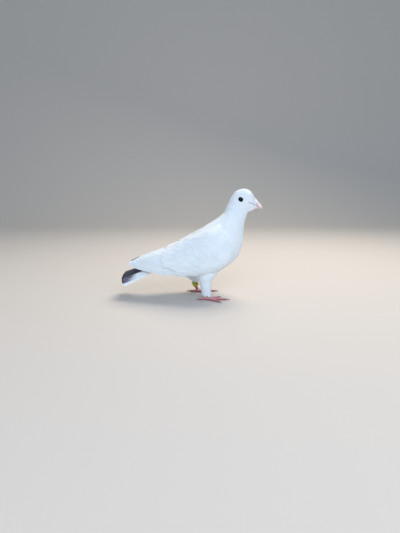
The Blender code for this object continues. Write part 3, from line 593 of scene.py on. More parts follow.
def coat(name, made, finish, keep=None):
    """Joins groups of leaves into one piece. keep is a test of each leaf's points."""
    points = np.concatenate([group[0] for group in made])
    maps = {key: np.concatenate([group[1][key] for group in made]) for key in ("Vane", "OFBake")}
    tint = np.concatenate([group[2] for group in made])
    if keep is not None:
        chosen = keep(points)
        points, tint = points[chosen], tint[chosen]
        maps = {key: pairs[chosen] for key, pairs in maps.items()}
    return piece(name, [points], finish, maps=maps, tint=tint, sharp=75)


# %% [markdown]
# The body's feathers are a little over 4 mm apart on the back and belly, and shrink to about 1 mm round the
# bill. They start at the bill and run back, so u falls along each of them. None grows over the eye or mouth.

# %% The coat of the body
EYE_CENTRE = np.array((69.2, 8.5, 172.1))
EYE_RADIUS = 5.5
LID_RADIUS = 4.75
EYE_OPENING = 4.15
FEATHER_SPACING = ((0.0, 5.0, 7.0, 9.0, 10.5, 13.5, 15.5), (3.8, 3.5, 2.7, 1.8, 1.25, 1.1, 0.9))
GAPE = np.array([(82.4, 167.2), (87.0, 166.0), (92.0, 163.9), (96.5, 161.6)])     # x, z of the mouth line
MOUTH_CLEAR = 1.05
LEAF_LENGTH = 2.9     # times the spacing
LEAF_HALF = 0.95


def body_unwrap(row, angle):
    return row / LAST_ROW, angle / TAU


def room_on_face(points):
    """Millimetres from points on the head to the eye's ring or the mouth line, whichever is nearer."""
    x, y, z = points[..., 0], np.abs(points[..., 1]), points[..., 2]
    eye = np.where(y > 7.0, np.hypot(x - EYE_CENTRE[0], z - EYE_CENTRE[2]) - LID_RADIUS, 99.0)
    along = np.clip(x, GAPE[0, 0], GAPE[-1, 0])
    mouth = np.hypot(z - np.interp(along, GAPE[:, 0], GAPE[:, 1]), x - along) - MOUTH_CLEAR
    return np.minimum(eye, mouth)


def clear_of_face(points):
    """True for leaves of which no point lies inside the eye's ring or on the mouth line."""
    return (room_on_face(points) > -0.4).all((1, 2))


def body_coat(name, first, last):
    """The leaves between two rows. One that would reach the eye or the mouth is shorter and narrower."""
    u, v, scale_u, scale_v = spread(body_place, (first, last), (0.0, TAU), FEATHER_SPACING)
    apart = np.interp(u, *FEATHER_SPACING)
    t = np.linspace(0.0, 1.0, 7)
    line = body_place(u[:, None] - t * (LEAF_LENGTH * apart / scale_u)[:, None], v[:, None] + 0 * t, 0.0)
    room = room_on_face(line)
    blocked = room < 0.0
    free = np.where(blocked.any(1), (blocked.argmax(1) - 0.5) / 6, 1.0)
    beside = np.where(free > 0.4, room[:, 2:4].min(1), room[:, 0])
    some = free > 0.0
    roots = (u[some], v[some], scale_u[some], scale_v[some])
    length = (LEAF_LENGTH * apart * free)[some]
    half = np.minimum(LEAF_HALF * apart, 0.4 + 0.8 * np.clip(beside, 0.0, None))[some]
    root_lift = np.interp(room[some, 0], (1.0, 3.0), (0.1, -0.3))[:, None, None]
    group = leaves(body_place, roots, body_unwrap, length, half, (root_lift, 0.4))
    return coat(name, [group], feather_down, keep=clear_of_face)


body_coat("coat_belly", 0.0, 3.9)
body_coat("coat_breast", 3.9, 6.7)
body_coat("coat_neck", 6.7, 9.3)
body_coat("coat_head", 9.3, 15.45)

# %% [markdown]
# Each thigh wears soft feathers that hang down to the hem. On the right leg they reach almost to the toes.

# %% The coat of the thighs
THIGH_SPACING = 1.8
LAST_ROOT = {"left": 5.1, "right": 4.9}     # the lowest roots, on the scale of the thigh's rings
for leg in ("left", "right"):
    place = thigh_place(leg, THIGH_COAT)
    roots = spread(place, (0.6, LAST_ROOT[leg]), (0.0, TAU), ((0.0,), (THIGH_SPACING,)))
    length = THIGH_SPACING * rng.uniform(3.0, 4.4, len(roots[0]))
    group = leaves(place, roots, lambda u, v: (u / 5.2, v / TAU), length, 0.8 * THIGH_SPACING, (-0.3, 0.5),
                   way=1)
    coat(f"coat_thigh_{leg}", [group], feather_down)

# %% [markdown]
# A flight feather has a stiff quill and two webs, the leading one narrower. Its section is a thin lens with
# the quill as a ridge, and its end is round. Each lies on its surface with its lower edge outermost, so that
# it covers part of the next, as slates do.

# %% Flight feathers
VANE_STEPS = np.array([0.0, 0.12, 0.28, 0.45, 0.62, 0.76, 0.87, 0.94, 0.98, 1.0])
VANE_WIDTH = np.array([0.5, 0.75, 0.92, 1.0, 1.0, 0.98, 0.92, 0.78, 0.55, 0.22])
VANE_ACROSS = np.array([-1.0, -0.72, -0.38, -0.07, 0.0, 0.07, 0.38, 0.72, 1.0])
WEB_THICKNESS = 0.3
QUILL_HEIGHT = 0.22


def both_sides(values):
    """What each point of a feather's upper side has, and then the same for its underside, which runs back."""
    return np.concatenate([values, values[:, :, ::-1]], 2)


def vanes(place, root, tip, half, lift, tilt, scale, length, lead=0.8, round_tip=0.03, width=VANE_WIDTH,
          bend=1.0):
    """Closed feathers with root and tip as (u, v) arrays, half and length in mm, and scale(u) mm for one v.

    v = middle + s * half * width(t) / scale, and the edge at s = -1 stands tilt mm higher than the quill. The
    middle runs from root to tip by t to the power bend.
    """
    t, s = VANE_STEPS[None, :, None], VANE_ACROSS[None, None, :]
    shape = width[None, :, None]
    root_u, root_v, tip_u, tip_v = (np.asarray(x, float)[:, None, None] for x in (*root, *tip))
    half = np.asarray(half, float)[:, None, None]
    u = root_u + (tip_u - root_u) * (t - round_tip * s**2 * t**5)
    side = s * np.where(s < 0, lead, 1.0) * half * shape
    v = root_v + (tip_v - root_v) * t**bend + side / scale(u)
    first, last = (np.asarray(x, float)[:, None, None] for x in lift)
    high = first + (last - first) * t - tilt * s * shape + 0.25 * (1 - s**2)
    quill = QUILL_HEIGHT * np.exp(-((s / 0.05) ** 2)) * (1 - 0.8 * t)
    web = WEB_THICKNESS * (1 - 0.6 * s**2) * (1 - 0.4 * t)
    top = place(u, v, high + quill + web / 2)
    bottom = place(u, v, high - web / 2)[:, :, ::-1]
    points = np.concatenate([top, bottom], 2)
    along = t * np.asarray(length, float)[:, None, None] + 0 * s
    vane = np.stack([side + 0 * along, along], -1)
    local = np.stack(np.broadcast_arrays(s, 2 * t - 1, along)[:2], -1)
    return points, both_sides(vane), both_sides(local)


def column_map(local):
    """The OFBake map: an upright strip for each feather, side by side."""
    count = len(local)
    column = (np.arange(count) + 0.5)[:, None, None] / count
    return np.stack([column + local[..., 0] * 0.42 / count, 0.5 + local[..., 1] * 0.48], -1)


SECONDARY_TIPS = ((0.0, 0.1, 0.25, 0.47, 0.75, 1.0), (0.51, 0.52, 0.53, 0.615, 0.62, 0.575))
# Count, first and last level, tips forward of the secondary line, length, half width in mm, lift at the root
# and at the tip.
WING_TIERS = (
    (11, 0.06, 1.05, 0.0, 0.32, 7.2, 3.0, 3.6),
    (12, 0.10, 1.00, 0.11, 0.22, 5.9, 3.8, 4.3),
    (12, 0.13, 0.96, 0.20, 0.17, 5.0, 4.5, 5.0),
    (13, 0.14, 0.92, 0.27, 0.14, 4.3, 5.1, 5.6),
)
PRIMARIES = 9
WING_LENGTH = 190.0
PRIMARY_BEND = 3.0     # keeps the primaries low along the edge until they near the tip
SHINGLE = 0.6
LOWEST_LEVEL = 0.03


def on_wing(u, v, lift):
    """The wing's place function with v kept at or above its lower edge."""
    return wing_place(u, np.maximum(v, LOWEST_LEVEL), lift)


def wing_feathers(name, side):
    """All the large feathers of one wing, in one piece."""
    groups = []
    for count, lowest, highest, forward, length, half, first, last in WING_TIERS:
        level = np.linspace(lowest, highest, count)
        tip = np.interp(level, *SECONDARY_TIPS) - forward + 0.006 * rng.standard_normal(count)
        flat = np.interp(level, (0.05, 0.3), (0.4, 1.0))
        groups.append(vanes(on_wing, (tip - length, level), (tip, level + 0.01), half + 0 * level,
                            (first * flat, last * flat), SHINGLE, wing_height,
                            WING_LENGTH * length + 0 * level))
    i = np.arange(PRIMARIES)
    tip = 1.0 - 0.037 * i
    groups.append(vanes(on_wing, (0.4 + 0 * i, 0.1 + 0.1 * i), (tip, np.minimum(0.97, 0.5 + 0.12 * i)),
                        6.4 + 0 * i, (0.6 + 0.22 * i, 0.4 + 0.22 * i), SHINGLE, wing_height,
                        WING_LENGTH * (tip - 0.4), bend=PRIMARY_BEND))
    points = np.concatenate([group[0] for group in groups]) * (1, side, 1)
    vane = np.concatenate([group[1] for group in groups])
    local = np.concatenate([group[2] for group in groups])
    tint = WHITE * (1 - 0.05 * rng.random((len(points), 1, 1, 1))) + 0 * points
    return piece(name, [points], feather_web, maps={"Vane": vane, "OFBake": column_map(local)},
                 tint=tint, stands_for=(name.replace("flight_feathers", "wing"),), sharp=60)


PAD_SPACING = 2.8
SCAPULAR_SPACING = ((0.0, 0.2), (2.6, 4.8))     # mm at the shoulder and further back
PAD_INNER = 20.0     # mm from the middle plane, where the pad ends inside the flank


def pad_lift(along, level):
    """Height of the feathers over the arm, nothing at the bend and low at the edges."""
    rise = np.sin(math.pi / 2 * np.clip(along / 0.2, 0, 1))
    body = np.interp(along, (0.0, 0.2, 0.34, 0.46, 0.6), (7.4, 7.4, 5.6, 3.4, 1.4))
    edge = np.clip(np.minimum(level, 1 - level) / 0.16, 0, 1) ** 0.5
    return -1.0 + (body + 1.0) * (0.05 + 0.95 * rise) * (0.25 + 0.75 * edge)


def pad_place(side):
    """Place function of the small coverts over the arm."""
    def place(along, level, lift):
        along, level, lift = np.broadcast_arrays(along, level, lift)
        safe = np.clip(level, 0.004, 0.996)
        return wing_place(along, safe, lift + pad_lift(along, safe)) * (1, side, 1)
    return place


def scapular_place(side):
    """Place function of the shoulder feathers, which lie over the wing's upper edge and the back."""
    def place(along, level, lift):
        along, level, lift = np.broadcast_arrays(along, level, lift)
        rise = np.interp(along, (-0.04, 0.02, 0.12, 0.25, 0.5), (-3.0, -0.6, 2.6, 5.2, 4.4))
        return wing_place(along, level, lift + rise) * (1, side, 1)
    return place


def pad_surface(side):
    """The closed body of the arm's coverts, under the small feathers."""
    along, level = grid(np.linspace(0.0, 0.5, 30), np.linspace(0.0, 1.0, 24))
    top = wing_place(along, level, pad_lift(along, level) - 0.7)
    under = wing_shell(along, level)
    under[..., 1] = np.minimum(under[..., 1] - 2.5, PAD_INNER)
    ring = np.concatenate([top, under[:, ::-1]], 1)
    return (ring * (1, side, 1))[None]


COVERT_AREAS = (((-0.02, 0.3), (0.0, 0.99)), ((0.28, 0.48), (0.0, 0.24)))     # along and level of each


for leg, side in LEG_SIDE.items():
    wing_feathers(f"flight_feathers_{leg}", side)
    place = pad_place(side)
    groups = []
    for area in COVERT_AREAS:
        roots = spread(place, *area, ((0.0,), (PAD_SPACING,)))
        groups.append(leaves(place, roots, lambda u, v: (u + 0.1, v), 3.0 * PAD_SPACING, 0.9 * PAD_SPACING,
                             (-0.9, 0.25), way=1))
    place = scapular_place(side)
    roots = spread(place, (-0.03, 0.4), (0.84, 1.12), SCAPULAR_SPACING)
    apart = np.interp(roots[0], *SCAPULAR_SPACING)
    groups.append(leaves(place, roots, lambda u, v: (u + 0.1, v - 0.15), 3.4 * apart, 0.85 * apart,
                         (-0.9, 0.3), way=1))
    coat(f"coat_wing_{leg}", groups, feather_down)
    rings = pad_surface(side)
    # The pad under the coverts is tinted with painted shade, a darker, bluer white than the feathers.
    piece(f"wing_pad_{leg}", [rings], feather_down, maps={"Vane": 0 * rings[..., :2]},
          tint=PAINTED_SHADE_WHITE)

# %% [markdown]
# The tail has twelve feathers, the middle pair uppermost. This bird's outer two on each side are mostly
# white, the second with a slate end. The rest are blue-black to slate with a darker rim.

# %% The tail
TAIL_PAIRS = 6
TAIL_FEATHER_HALF = 6.6
TAIL_LENGTH = 74.0
SLATE = linear("6E6980")
BLUE_BLACK = linear("1B2633")
RIM_BLACK = linear("14161C")
DARK_FROM = np.array((0.40, 0.41, 0.44, 0.74, 0.78, 2.0))     # for each feather, from the middle outwards
TAIL_LONGEST = 0.62     # how far out the longest feathers lie
TAIL_SHORTENING = (0.22, 0.6)     # falls with the square of the way from there, inwards and outwards
TAIL_WIDTH = np.array([0.5, 0.75, 0.92, 1.0, 1.0, 1.0, 1.0, 0.97, 0.88, 0.62])     # a squarer end


def smooth_step(low, high, x):
    """t * t * (3 - 2 * t), where t runs from 0 to 1 between low and high."""
    t = np.clip((x - low) / (high - low), 0, 1)
    return t * t * (3 - 2 * t)


def tail_tint(order, local):
    """White at the root, then blue-black turning to slate outwards, and a nearly black rim at the end."""
    s, t = local[..., 0], (local[..., 1] + 1) / 2
    start = DARK_FROM[order][:, None, None] + 0.03 * s
    dark = smooth_step(start - 0.05, start + 0.05, t)[..., None]
    slate = np.interp(order, (0, 2, 3), (0.1, 0.25, 1.0))[:, None, None, None]
    slate = slate * (0.6 + 0.4 * smooth_step(0.5, 0.9, t))[..., None]
    ink = BLUE_BLACK * (1 - slate) + SLATE * slate
    rim = smooth_step(0.94, 0.98, t)[..., None]
    ink = ink * (1 - rim) + RIM_BLACK * rim
    return WHITE * (1 - dark) + ink * dark


order = np.tile(np.arange(TAIL_PAIRS), 2)
hand = np.repeat((1, -1), TAIL_PAIRS)
middle = (order + 0.5) / TAIL_PAIRS
reach = 1.0 - np.where(middle < TAIL_LONGEST, *TAIL_SHORTENING) * (middle - TAIL_LONGEST) ** 2
high = 0.4 - 1.0 * order
points, vane, local = vanes(tail_place, (0.02 + 0 * reach, hand * 0.85 * middle), (reach, hand * 0.93 * middle),
                            TAIL_FEATHER_HALF + 0 * reach, (high - 0.9, high), 0.0, tail_half,
                            TAIL_LENGTH * reach, lead=1.0, round_tip=0.015, width=TAIL_WIDTH)
piece("tail_feathers", [points], feather_web, maps={"Vane": vane, "OFBake": column_map(local)},
      tint=tail_tint(order, local), stands_for=("tail",), sharp=60)

TAIL_COVERTS = (("tail_coverts_upper", 1.4, 4.2, 0.30), ("tail_coverts_under", -6.5, 3.6, 0.46))
# Each has a name, a height over the tail's surface and a spacing in mm, and how far along its last roots lie.
for name, height, spacing, last in TAIL_COVERTS:
    sign = np.sign(height)

    def covert_place(along, across, lift, height=height, sign=sign):
        flatness = np.interp(along, (-0.15, 0.0, 0.6), (1.5, 1.0, 0.75))
        fall = 0.0 if sign > 0 else -7.0 * np.clip(1 - along / 0.5, 0, 1.4) * (1 - across**2)
        return tail_place(along, across, height * flatness + sign * lift + fall)

    roots = spread(covert_place, (-0.14, last), (-0.85, 0.85), ((0.0,), (spacing,)))
    group = leaves(covert_place, roots, lambda u, v: (u + 0.2, v / 2 + 0.5), 3.4 * spacing, 0.8 * spacing,
                   (-0.6, 0.4), way=1)
    coat(name, [group], feather_down)

# %% [markdown]
# The bill is horn: pale pink where it is thin over blood, with some painted shade below the ridge, and cream at
# the tip. A painted highlight runs in cream along the ridge, and the nostrils hold painted shade. Behind it sit
# the two chalky lobes of the cere over the nostrils, and a fleshy pale seam edges the mouth.

# %% The bill and the mouth
UPPER_BILL = np.array([
    (90.5, 173.0, 92.0, 163.2, 4.4),
    (93.4, 171.6, 95.0, 162.0, 4.5),
    (98.2, 169.2, 98.2, 160.8, 3.9),
    (102.2, 166.4, 101.4, 159.6, 3.2),
    (105.4, 162.9, 104.6, 158.2, 2.4),
    (107.3, 159.2, 106.7, 156.9, 1.3),
    (107.5, 156.6, 107.2, 155.8, 0.5),
])
LOWER_BILL = np.array([
    (91.0, 157.0, 90.4, 162.6, 4.0),
    (95.8, 156.2, 95.2, 161.1, 4.1),
    (98.6, 156.3, 98.3, 160.0, 3.4),
    (101.7, 156.4, 101.5, 158.8, 2.7),
    (104.4, 156.3, 104.3, 157.7, 1.9),
    (105.8, 156.2, 105.7, 157.0, 0.9),
])
CERE_LOBE = np.array((95.4, 2.1, 170.2))
CERE_RADII = np.array((5.6, 2.5, 2.6))
CERE_PITCH = math.radians(47.0)
NOSTRIL = np.array([(95.7, 166.0), (98.9, 163.6)])     # x, z of the slit's ends, below each lobe
NOSTRIL_DEEP = 0.9
NOSTRIL_HALF = 0.45


def in_nostril(points):
    """1 on the slit's line, less outwards by exp(-(distance / half width)^2), and nothing on the ridge."""
    spot = points[..., [0, 2]] - NOSTRIL[0]
    way = NOSTRIL[1] - NOSTRIL[0]
    t = np.clip(spot @ way / (way @ way), 0, 1)
    away = np.linalg.norm(spot - t[..., None] * way, axis=-1)
    return np.exp(-((away / NOSTRIL_HALF) ** 2)) * (np.abs(points[..., 1]) > 1.5)


def bill_rings(table, rows=100, around=90):
    """Arched rings: from the edge to the ridge, the sine gives the width and the cosine the height.

    The nostrils are grooves, sunk into the sides.
    """
    u, turn = grid(np.linspace(0, len(table) - 1, rows), turns(around))
    ridge_x, ridge_z, edge_x, edge_z, half = np.moveaxis(spline(table, u), -1, 0)
    rise = 0.12 + np.where(np.cos(turn) > 0, 0.88, 0.16) * np.cos(turn)
    rings = np.stack([edge_x + (ridge_x - edge_x) * rise, half * np.sin(turn),
                      edge_z + (ridge_z - edge_z) * rise], -1)[None]
    rings[..., 1] -= np.sign(rings[..., 1]) * NOSTRIL_DEEP * in_nostril(rings)
    return rings


# Bill horn: satin and a little see-through, clouded in spots about 1.4 mm wide.
horn = patterned("bill_horn", "TexNoise", {"Scale": 700.0, "Detail": 4.0}, shade=(0.3, 0.7, 0.88, 1.0),
                 relief=(0.2, 0.0002), Roughness=0.36, Subsurface_Weight=0.25, Subsurface_Scale=0.002,
                 Coat_Weight=0.2, Coat_Roughness=0.25)

# The bill's own pink, with painted shade in it below the ridge; its own cream at the tip, also used along the
# ridge as a painted highlight; and its whitish root.
BILL_PINK_AND_SHADE, BILL_CREAM_AND_HIGHLIGHT, BILL_ROOT = linear("E2BFD2"), linear("F3E6DC"), linear("EFE9EC")


def bill_tint(points):
    """Cream at the tip, whitish at the root, pink on the sides with some painted shade.

    A painted highlight runs in cream along the ridge, and painted shade darkens the nostrils.
    """
    x, y, z = points[..., 0], points[..., 1], points[..., 2]
    tip = smooth_step(103.5, 107.0, x)[..., None]
    # This mask lays a painted highlight in cream along the top of the bill.
    ridge = smooth_step(-9.5, -4.5, (z - 160.0) - 1.25 * (107.5 - x) * 0.9 + 3.0 - np.abs(y))[..., None]
    root = (1 - smooth_step(95.0, 99.5, x))[..., None]
    body = BILL_PINK_AND_SHADE * (1 - ridge) + BILL_CREAM_AND_HIGHLIGHT * ridge
    body = body * (1 - root) + BILL_ROOT * root
    body = body * (1 - tip) + BILL_CREAM_AND_HIGHLIGHT * tip
    # The nostril grooves are darkened with painted shade.
    return body * (1 - 0.65 * in_nostril(points)[..., None])


for name, table in (("bill_upper", UPPER_BILL), ("bill_lower", LOWER_BILL)):
    rings = bill_rings(table)
    piece(f"{name}_horn", [rings], horn, tint=bill_tint(rings), stands_for=(name,))

# Chalky bare skin: dull and white, with warts about 0.8 mm wide.
chalk = patterned("chalky_cere_skin", "TexVoronoi", {"Scale": 1300.0}, relief=(0.5, 0.0003),
                  Base_Color=colour("F4F1F0"), Roughness=0.85, Subsurface_Weight=0.15, Subsurface_Scale=0.002)


def lobe(side, rows=28, around=36):
    """An ellipsoid that leans down the bill, with a furrow across it and small swellings on it."""
    u, turn = grid(np.linspace(0.03, math.pi - 0.03, rows), turns(around))
    swell = 1 + 0.05 * np.sin(3 * turn + 2 * u) * np.sin(4 * u) - 0.06 * np.exp(-(((u - 1.7) / 0.15) ** 2))
    ball = np.stack([np.cos(u), np.sin(u) * np.cos(turn), np.sin(u) * np.sin(turn)], -1) * CERE_RADII
    ball = ball * swell[..., None]
    lean_x = ball[..., 0] * math.cos(CERE_PITCH) + ball[..., 2] * math.sin(CERE_PITCH)
    lean_z = ball[..., 2] * math.cos(CERE_PITCH) - ball[..., 0] * math.sin(CERE_PITCH)
    return (np.stack([lean_x, ball[..., 1], lean_z], -1) + CERE_LOBE) * (1, side, 1)


piece("cere_lobes", [np.stack([lobe(1), lobe(-1)])], chalk, stands_for=("cere",))


def tube_along(path, radii, around=12, squash=1.0):
    """Rings round a path of points: radius * (cos * side + sin * up), square to the path's slope."""
    way = np.gradient(path, axis=0)
    way /= np.linalg.norm(way, axis=1)[:, None]
    helper = np.where(np.abs(way[:, 2:3]) < 0.85, (0.0, 0.0, 1.0), (1.0, 0.0, 0.0))
    side = np.cross(way, helper)
    side /= np.linalg.norm(side, axis=1)[:, None]
    up = np.cross(side, way)
    turn = turns(around)
    radii = np.broadcast_to(radii, len(path))[:, None, None]
    return path[:, None] + radii * (side[:, None] * np.cos(turn)[None, :, None] * squash
                                    + up[:, None] * np.sin(turn)[None, :, None])


def cheek(x, z):
    """Half width of the head's skin where the side view shows x, z, from the nearest point of a fine net."""
    row, angle = grid(np.linspace(9.5, LAST_ROW, 160), np.linspace(0.05, math.pi - 0.05, 160))
    net = body_place(row, angle, 0.0).reshape(-1, 3)
    nearest = np.hypot(net[:, 0][:, None] - x, net[:, 2][:, None] - z).argmin(0)
    return net[nearest, 1]


STEPS = np.linspace(0, 1, 24)
mouth_x = np.interp(STEPS, np.linspace(0, 1, len(GAPE)), GAPE[:, 0])
mouth_z = np.interp(STEPS, np.linspace(0, 1, len(GAPE)), GAPE[:, 1])
mouth_y = cheek(mouth_x, mouth_z)
seam, slit = [], []
for side in (1, -1):
    middle_line = np.stack([mouth_x, side * (mouth_y + 0.1), mouth_z], -1)
    taper = np.interp(STEPS, (0.0, 0.25, 0.7, 1.0), (0.4, 0.95, 1.0, 0.75))
    for rise in (0.72, -0.78):
        shift = np.stack([0 * taper, 0 * taper, rise * taper], -1)
        seam.append(tube_along(middle_line + shift, 0.5 * taper))
    slit.append(tube_along(middle_line + (0.0, side * 0.1, 0.0), 0.42 * taper))
# The fleshy seam: pale and moist, with wrinkles about 0.7 mm apart. The line between is matt shadow.
flesh_pale = patterned("gape_flesh", "TexNoise", {"Scale": 1500.0}, relief=(0.4, 0.0002),
                       Base_Color=colour("F3EFF1"), Roughness=0.55, Subsurface_Weight=0.2,
                       Subsurface_Scale=0.002)
mouth_dark = surface("mouth_shadow", Base_Color=colour("3E3239"), Roughness=0.9)[0]
piece("gape_seams", [np.stack(seam)], flesh_pale)
piece("mouth_lines", [np.stack(slit)], mouth_dark)

# %% [markdown]
# The eye of this bird is dark all over: a black pupil in an iris of deepest brown, under a wet cornea. Bare
# pale lids ring it, thicker above than below, and set it a little into the head.

# %% The eyes
def eye_rings(side, rows=40, around=40):
    """A ball whose pole faces sideways, with a cornea that bulges 4 per cent near the pole."""
    u, turn = grid(np.linspace(0.01, math.pi - 0.01, rows), turns(around))
    bulge = 1 + 0.04 * np.exp(-((u / 0.6) ** 2))
    out = np.stack([np.sin(u) * np.cos(turn), np.cos(u) + 0 * turn, np.sin(u) * np.sin(turn)], -1)
    points = (EYE_CENTRE + out * (EYE_RADIUS * bulge)[..., None]) * (1, side, 1)
    off = np.degrees(u)[..., None]
    pupil, iris, edge = linear("020202"), linear("0E0706"), linear("050303")
    tint = np.where(off < 26, pupil, np.where(off < 47, iris, edge)) + 0 * points
    return points, tint


# A wet cornea over a nearly black iris: the sharp highlight is what makes the eye look alive.
eye_wet = patterned("wet_dark_eye", "TexNoise", {"Scale": 1200.0}, shade=(0.3, 0.7, 0.7, 1.3), Roughness=0.05,
                    IOR=1.376, Specular_IOR_Level=0.3)

# Bare lid skin: pale and matt, with folds a little under 1 mm apart.
lid_skin = patterned("bare_lid_skin", "TexNoise", {"Scale": 1100.0, "Detail": 3.0}, relief=(0.5, 0.0003),
                     Base_Color=colour("E9E9ED"), Roughness=0.7, Subsurface_Weight=0.15,
                     Subsurface_Scale=0.002)


def lid_rings(side, sides=64, around=14):
    """A ring whose inner edge lies on the ball: an oval that slants down to the front, fuller above."""
    turn, small = grid(turns(sides), turns(around))
    thick = 0.5 + 0.14 * np.sin(turn) + 0.04 * np.sin(9 * turn)
    opening = EYE_OPENING * (1 + 0.12 * np.cos(2 * turn + 1.35))
    reach = opening + thick * (1 + np.cos(small))
    out = EYE_CENTRE[1] + np.sqrt(EYE_RADIUS**2 - opening**2) - 0.15 + thick * 0.8 * np.sin(small)
    return np.stack([EYE_CENTRE[0] + reach * np.cos(turn), side * out,
                     EYE_CENTRE[2] + reach * np.sin(turn)], -1)


for leg, side in LEG_SIDE.items():
    rings, tint = eye_rings(side)
    piece(f"eyeball_{leg}", [rings[None]], eye_wet, tint=tint, stands_for=(f"eye_{leg}",))
    piece(f"eyelids_{leg}", [lid_rings(side)[None]], lid_skin, closed=True)

# %% [markdown]
# Pigeons' feet are covered in scutes: broad plates down the front of the shank and along the top of each toe,
# fine scales elsewhere, and soft pads below. The plates are real ridges in the mesh here, 1.6 mm apart.

# %% The feet
TOE_SPREAD = {"inner": -33.0, "middle": 3.0, "outer": 40.0, "hind": 176.0}
TOE_LENGTH = {"inner": 23.0, "middle": 32.0, "outer": 25.0, "hind": 15.0}
CLAW_LENGTH = {"inner": 6.5, "middle": 7.5, "outer": 6.5, "hind": 6.5}
TOE_RADIUS = (2.5, 1.75)
SHANK_RADIUS = 2.6
ANKLE_Z = 6.0
SCUTE_MM = 1.6
FOOT_RED, FOOT_PINK = linear("B85560"), linear("DDA9AE")


def saw(x):
    """A plate's profile: rises over nine tenths of its length, then drops."""
    part = x % 1.0
    return np.where(part < 0.85, part / 0.85, (1 - part) / 0.15)


TOE_JOINTS = {"inner": 2, "middle": 3, "outer": 3, "hind": 1}


def toe_rings(x, y, turn, toe, rows=90, around=20):
    """A toe: a tube along the floor with plates over its top, joints that swell, and a flat sole."""
    length = TOE_LENGTH[toe]
    reach = np.linspace(0, length, rows)
    high = np.interp(reach / length, (0, 0.25, 1), (3.2, 2.4, 1.75))
    path = np.stack([x + reach * math.cos(turn), y + reach * math.sin(turn), high], -1)
    joint = np.cos(reach / length * TOE_JOINTS[toe] * TAU)
    end = np.sqrt(np.clip((length + 0.6 - reach) / 2.2, 0.0, 1.0))
    radius = np.interp(reach, (0, length), TOE_RADIUS) * (0.97 + 0.07 * joint) * end
    small = turns(around)
    up = np.sin(small)
    side = np.array((-math.sin(turn), math.cos(turn), 0.0))
    plate = 0.32 * (saw(reach / SCUTE_MM)[:, None] - 0.4) * np.clip(up, 0, 1) ** 0.5 * end[:, None]
    reach_out = radius[:, None] * 0.95 + plate
    rings = path[:, None] + reach_out[..., None] * (np.cos(small)[None, :, None] * side
                                                    + up[None, :, None] * np.array((0.0, 0.0, 1.0)))
    rings[..., 2] = np.maximum(rings[..., 2], 0.0 + 0.02 * (up < 0))
    return rings


def shank_rings(leg, rows=90, around=20):
    """The bare shank, with plates down its front, from inside the foot up into the feathers."""
    low = np.array((FOOT_X[leg], LEG_SIDE[leg] * LEG_Y, 2.6))
    high = np.array((HOCK[leg][0], LEG_SIDE[leg] * LEG_Y, HOCK[leg][1]))
    top = (np.mean(HEM[leg]) + 3.0 - low[2]) / (high[2] - low[2])
    t = np.linspace(0, 1, rows)
    path = low + (high - low) * (t * top)[:, None]
    small = turns(around)
    front = np.clip(np.cos(small), 0, 1) ** 0.5
    length = np.linalg.norm(high - low) * top
    radius = SHANK_RADIUS * (0.98 + 0.14 * (2 * t - 1) ** 2)[:, None]
    radius = radius + 0.3 * (saw(-t * length / SCUTE_MM) - 0.4)[:, None] * front
    return path[:, None] + radius[..., None] * np.stack([np.cos(small), np.sin(small), 0 * small], -1)


def hub_rings(leg, rows=90, around=20):
    """The ball of the foot, where the toes meet the shank."""
    u, turn = grid(np.linspace(0.05, math.pi - 0.05, rows), turns(around))
    out = np.stack([np.sin(u) * np.cos(turn) * 4.3, np.sin(u) * np.sin(turn) * 3.8, np.cos(u) * 3.6], -1)
    out = out + np.array((FOOT_X[leg], LEG_SIDE[leg] * LEG_Y, 3.4))
    out[..., 2] = np.maximum(out[..., 2], 0.02)
    return out


# Living scaled skin: satin, with darker joints between fine scales about 0.9 mm wide.
scales, tree, shader = surface("scaled_foot_skin", Roughness=0.5, Subsurface_Weight=0.12,
                               Subsurface_Scale=0.002)
where = add(tree, "TexCoord").outputs["Object"]
tint = add(tree, "Attribute", attribute_name="tint")
cells = add(tree, "TexVoronoi", {"Vector": where, "Scale": 1100.0}, feature="DISTANCE_TO_EDGE")
edges = add(tree, "MapRange", {0: cells.outputs[0], 1: 0.0, 2: 0.2, 3: 0.8, 4: 1.0})
mixed = add(tree, "Mix", {"Factor": 1.0, "A": tint.outputs["Color"], "B": edges.outputs[0]}, data_type="RGBA",
            blend_type="MULTIPLY")
tree.links.new(mixed.outputs["Result"], shader.inputs["Base Color"])
bump = add(tree, "Bump", {"Strength": 0.4, "Distance": 0.0003, "Height": edges.outputs[0]})
tree.links.new(bump.outputs[0], shader.inputs["Normal"])

# Claw horn: grey-brown with paler streaks about 2 mm long, under a thin gloss.
claw_horn = patterned("claw_horn", "TexNoise", {"Scale": 500.0, "Detail": 4.0}, colours=("5E5052", "B9A49E"),
                      Roughness=0.35, Coat_Weight=0.2, Coat_Roughness=0.2)

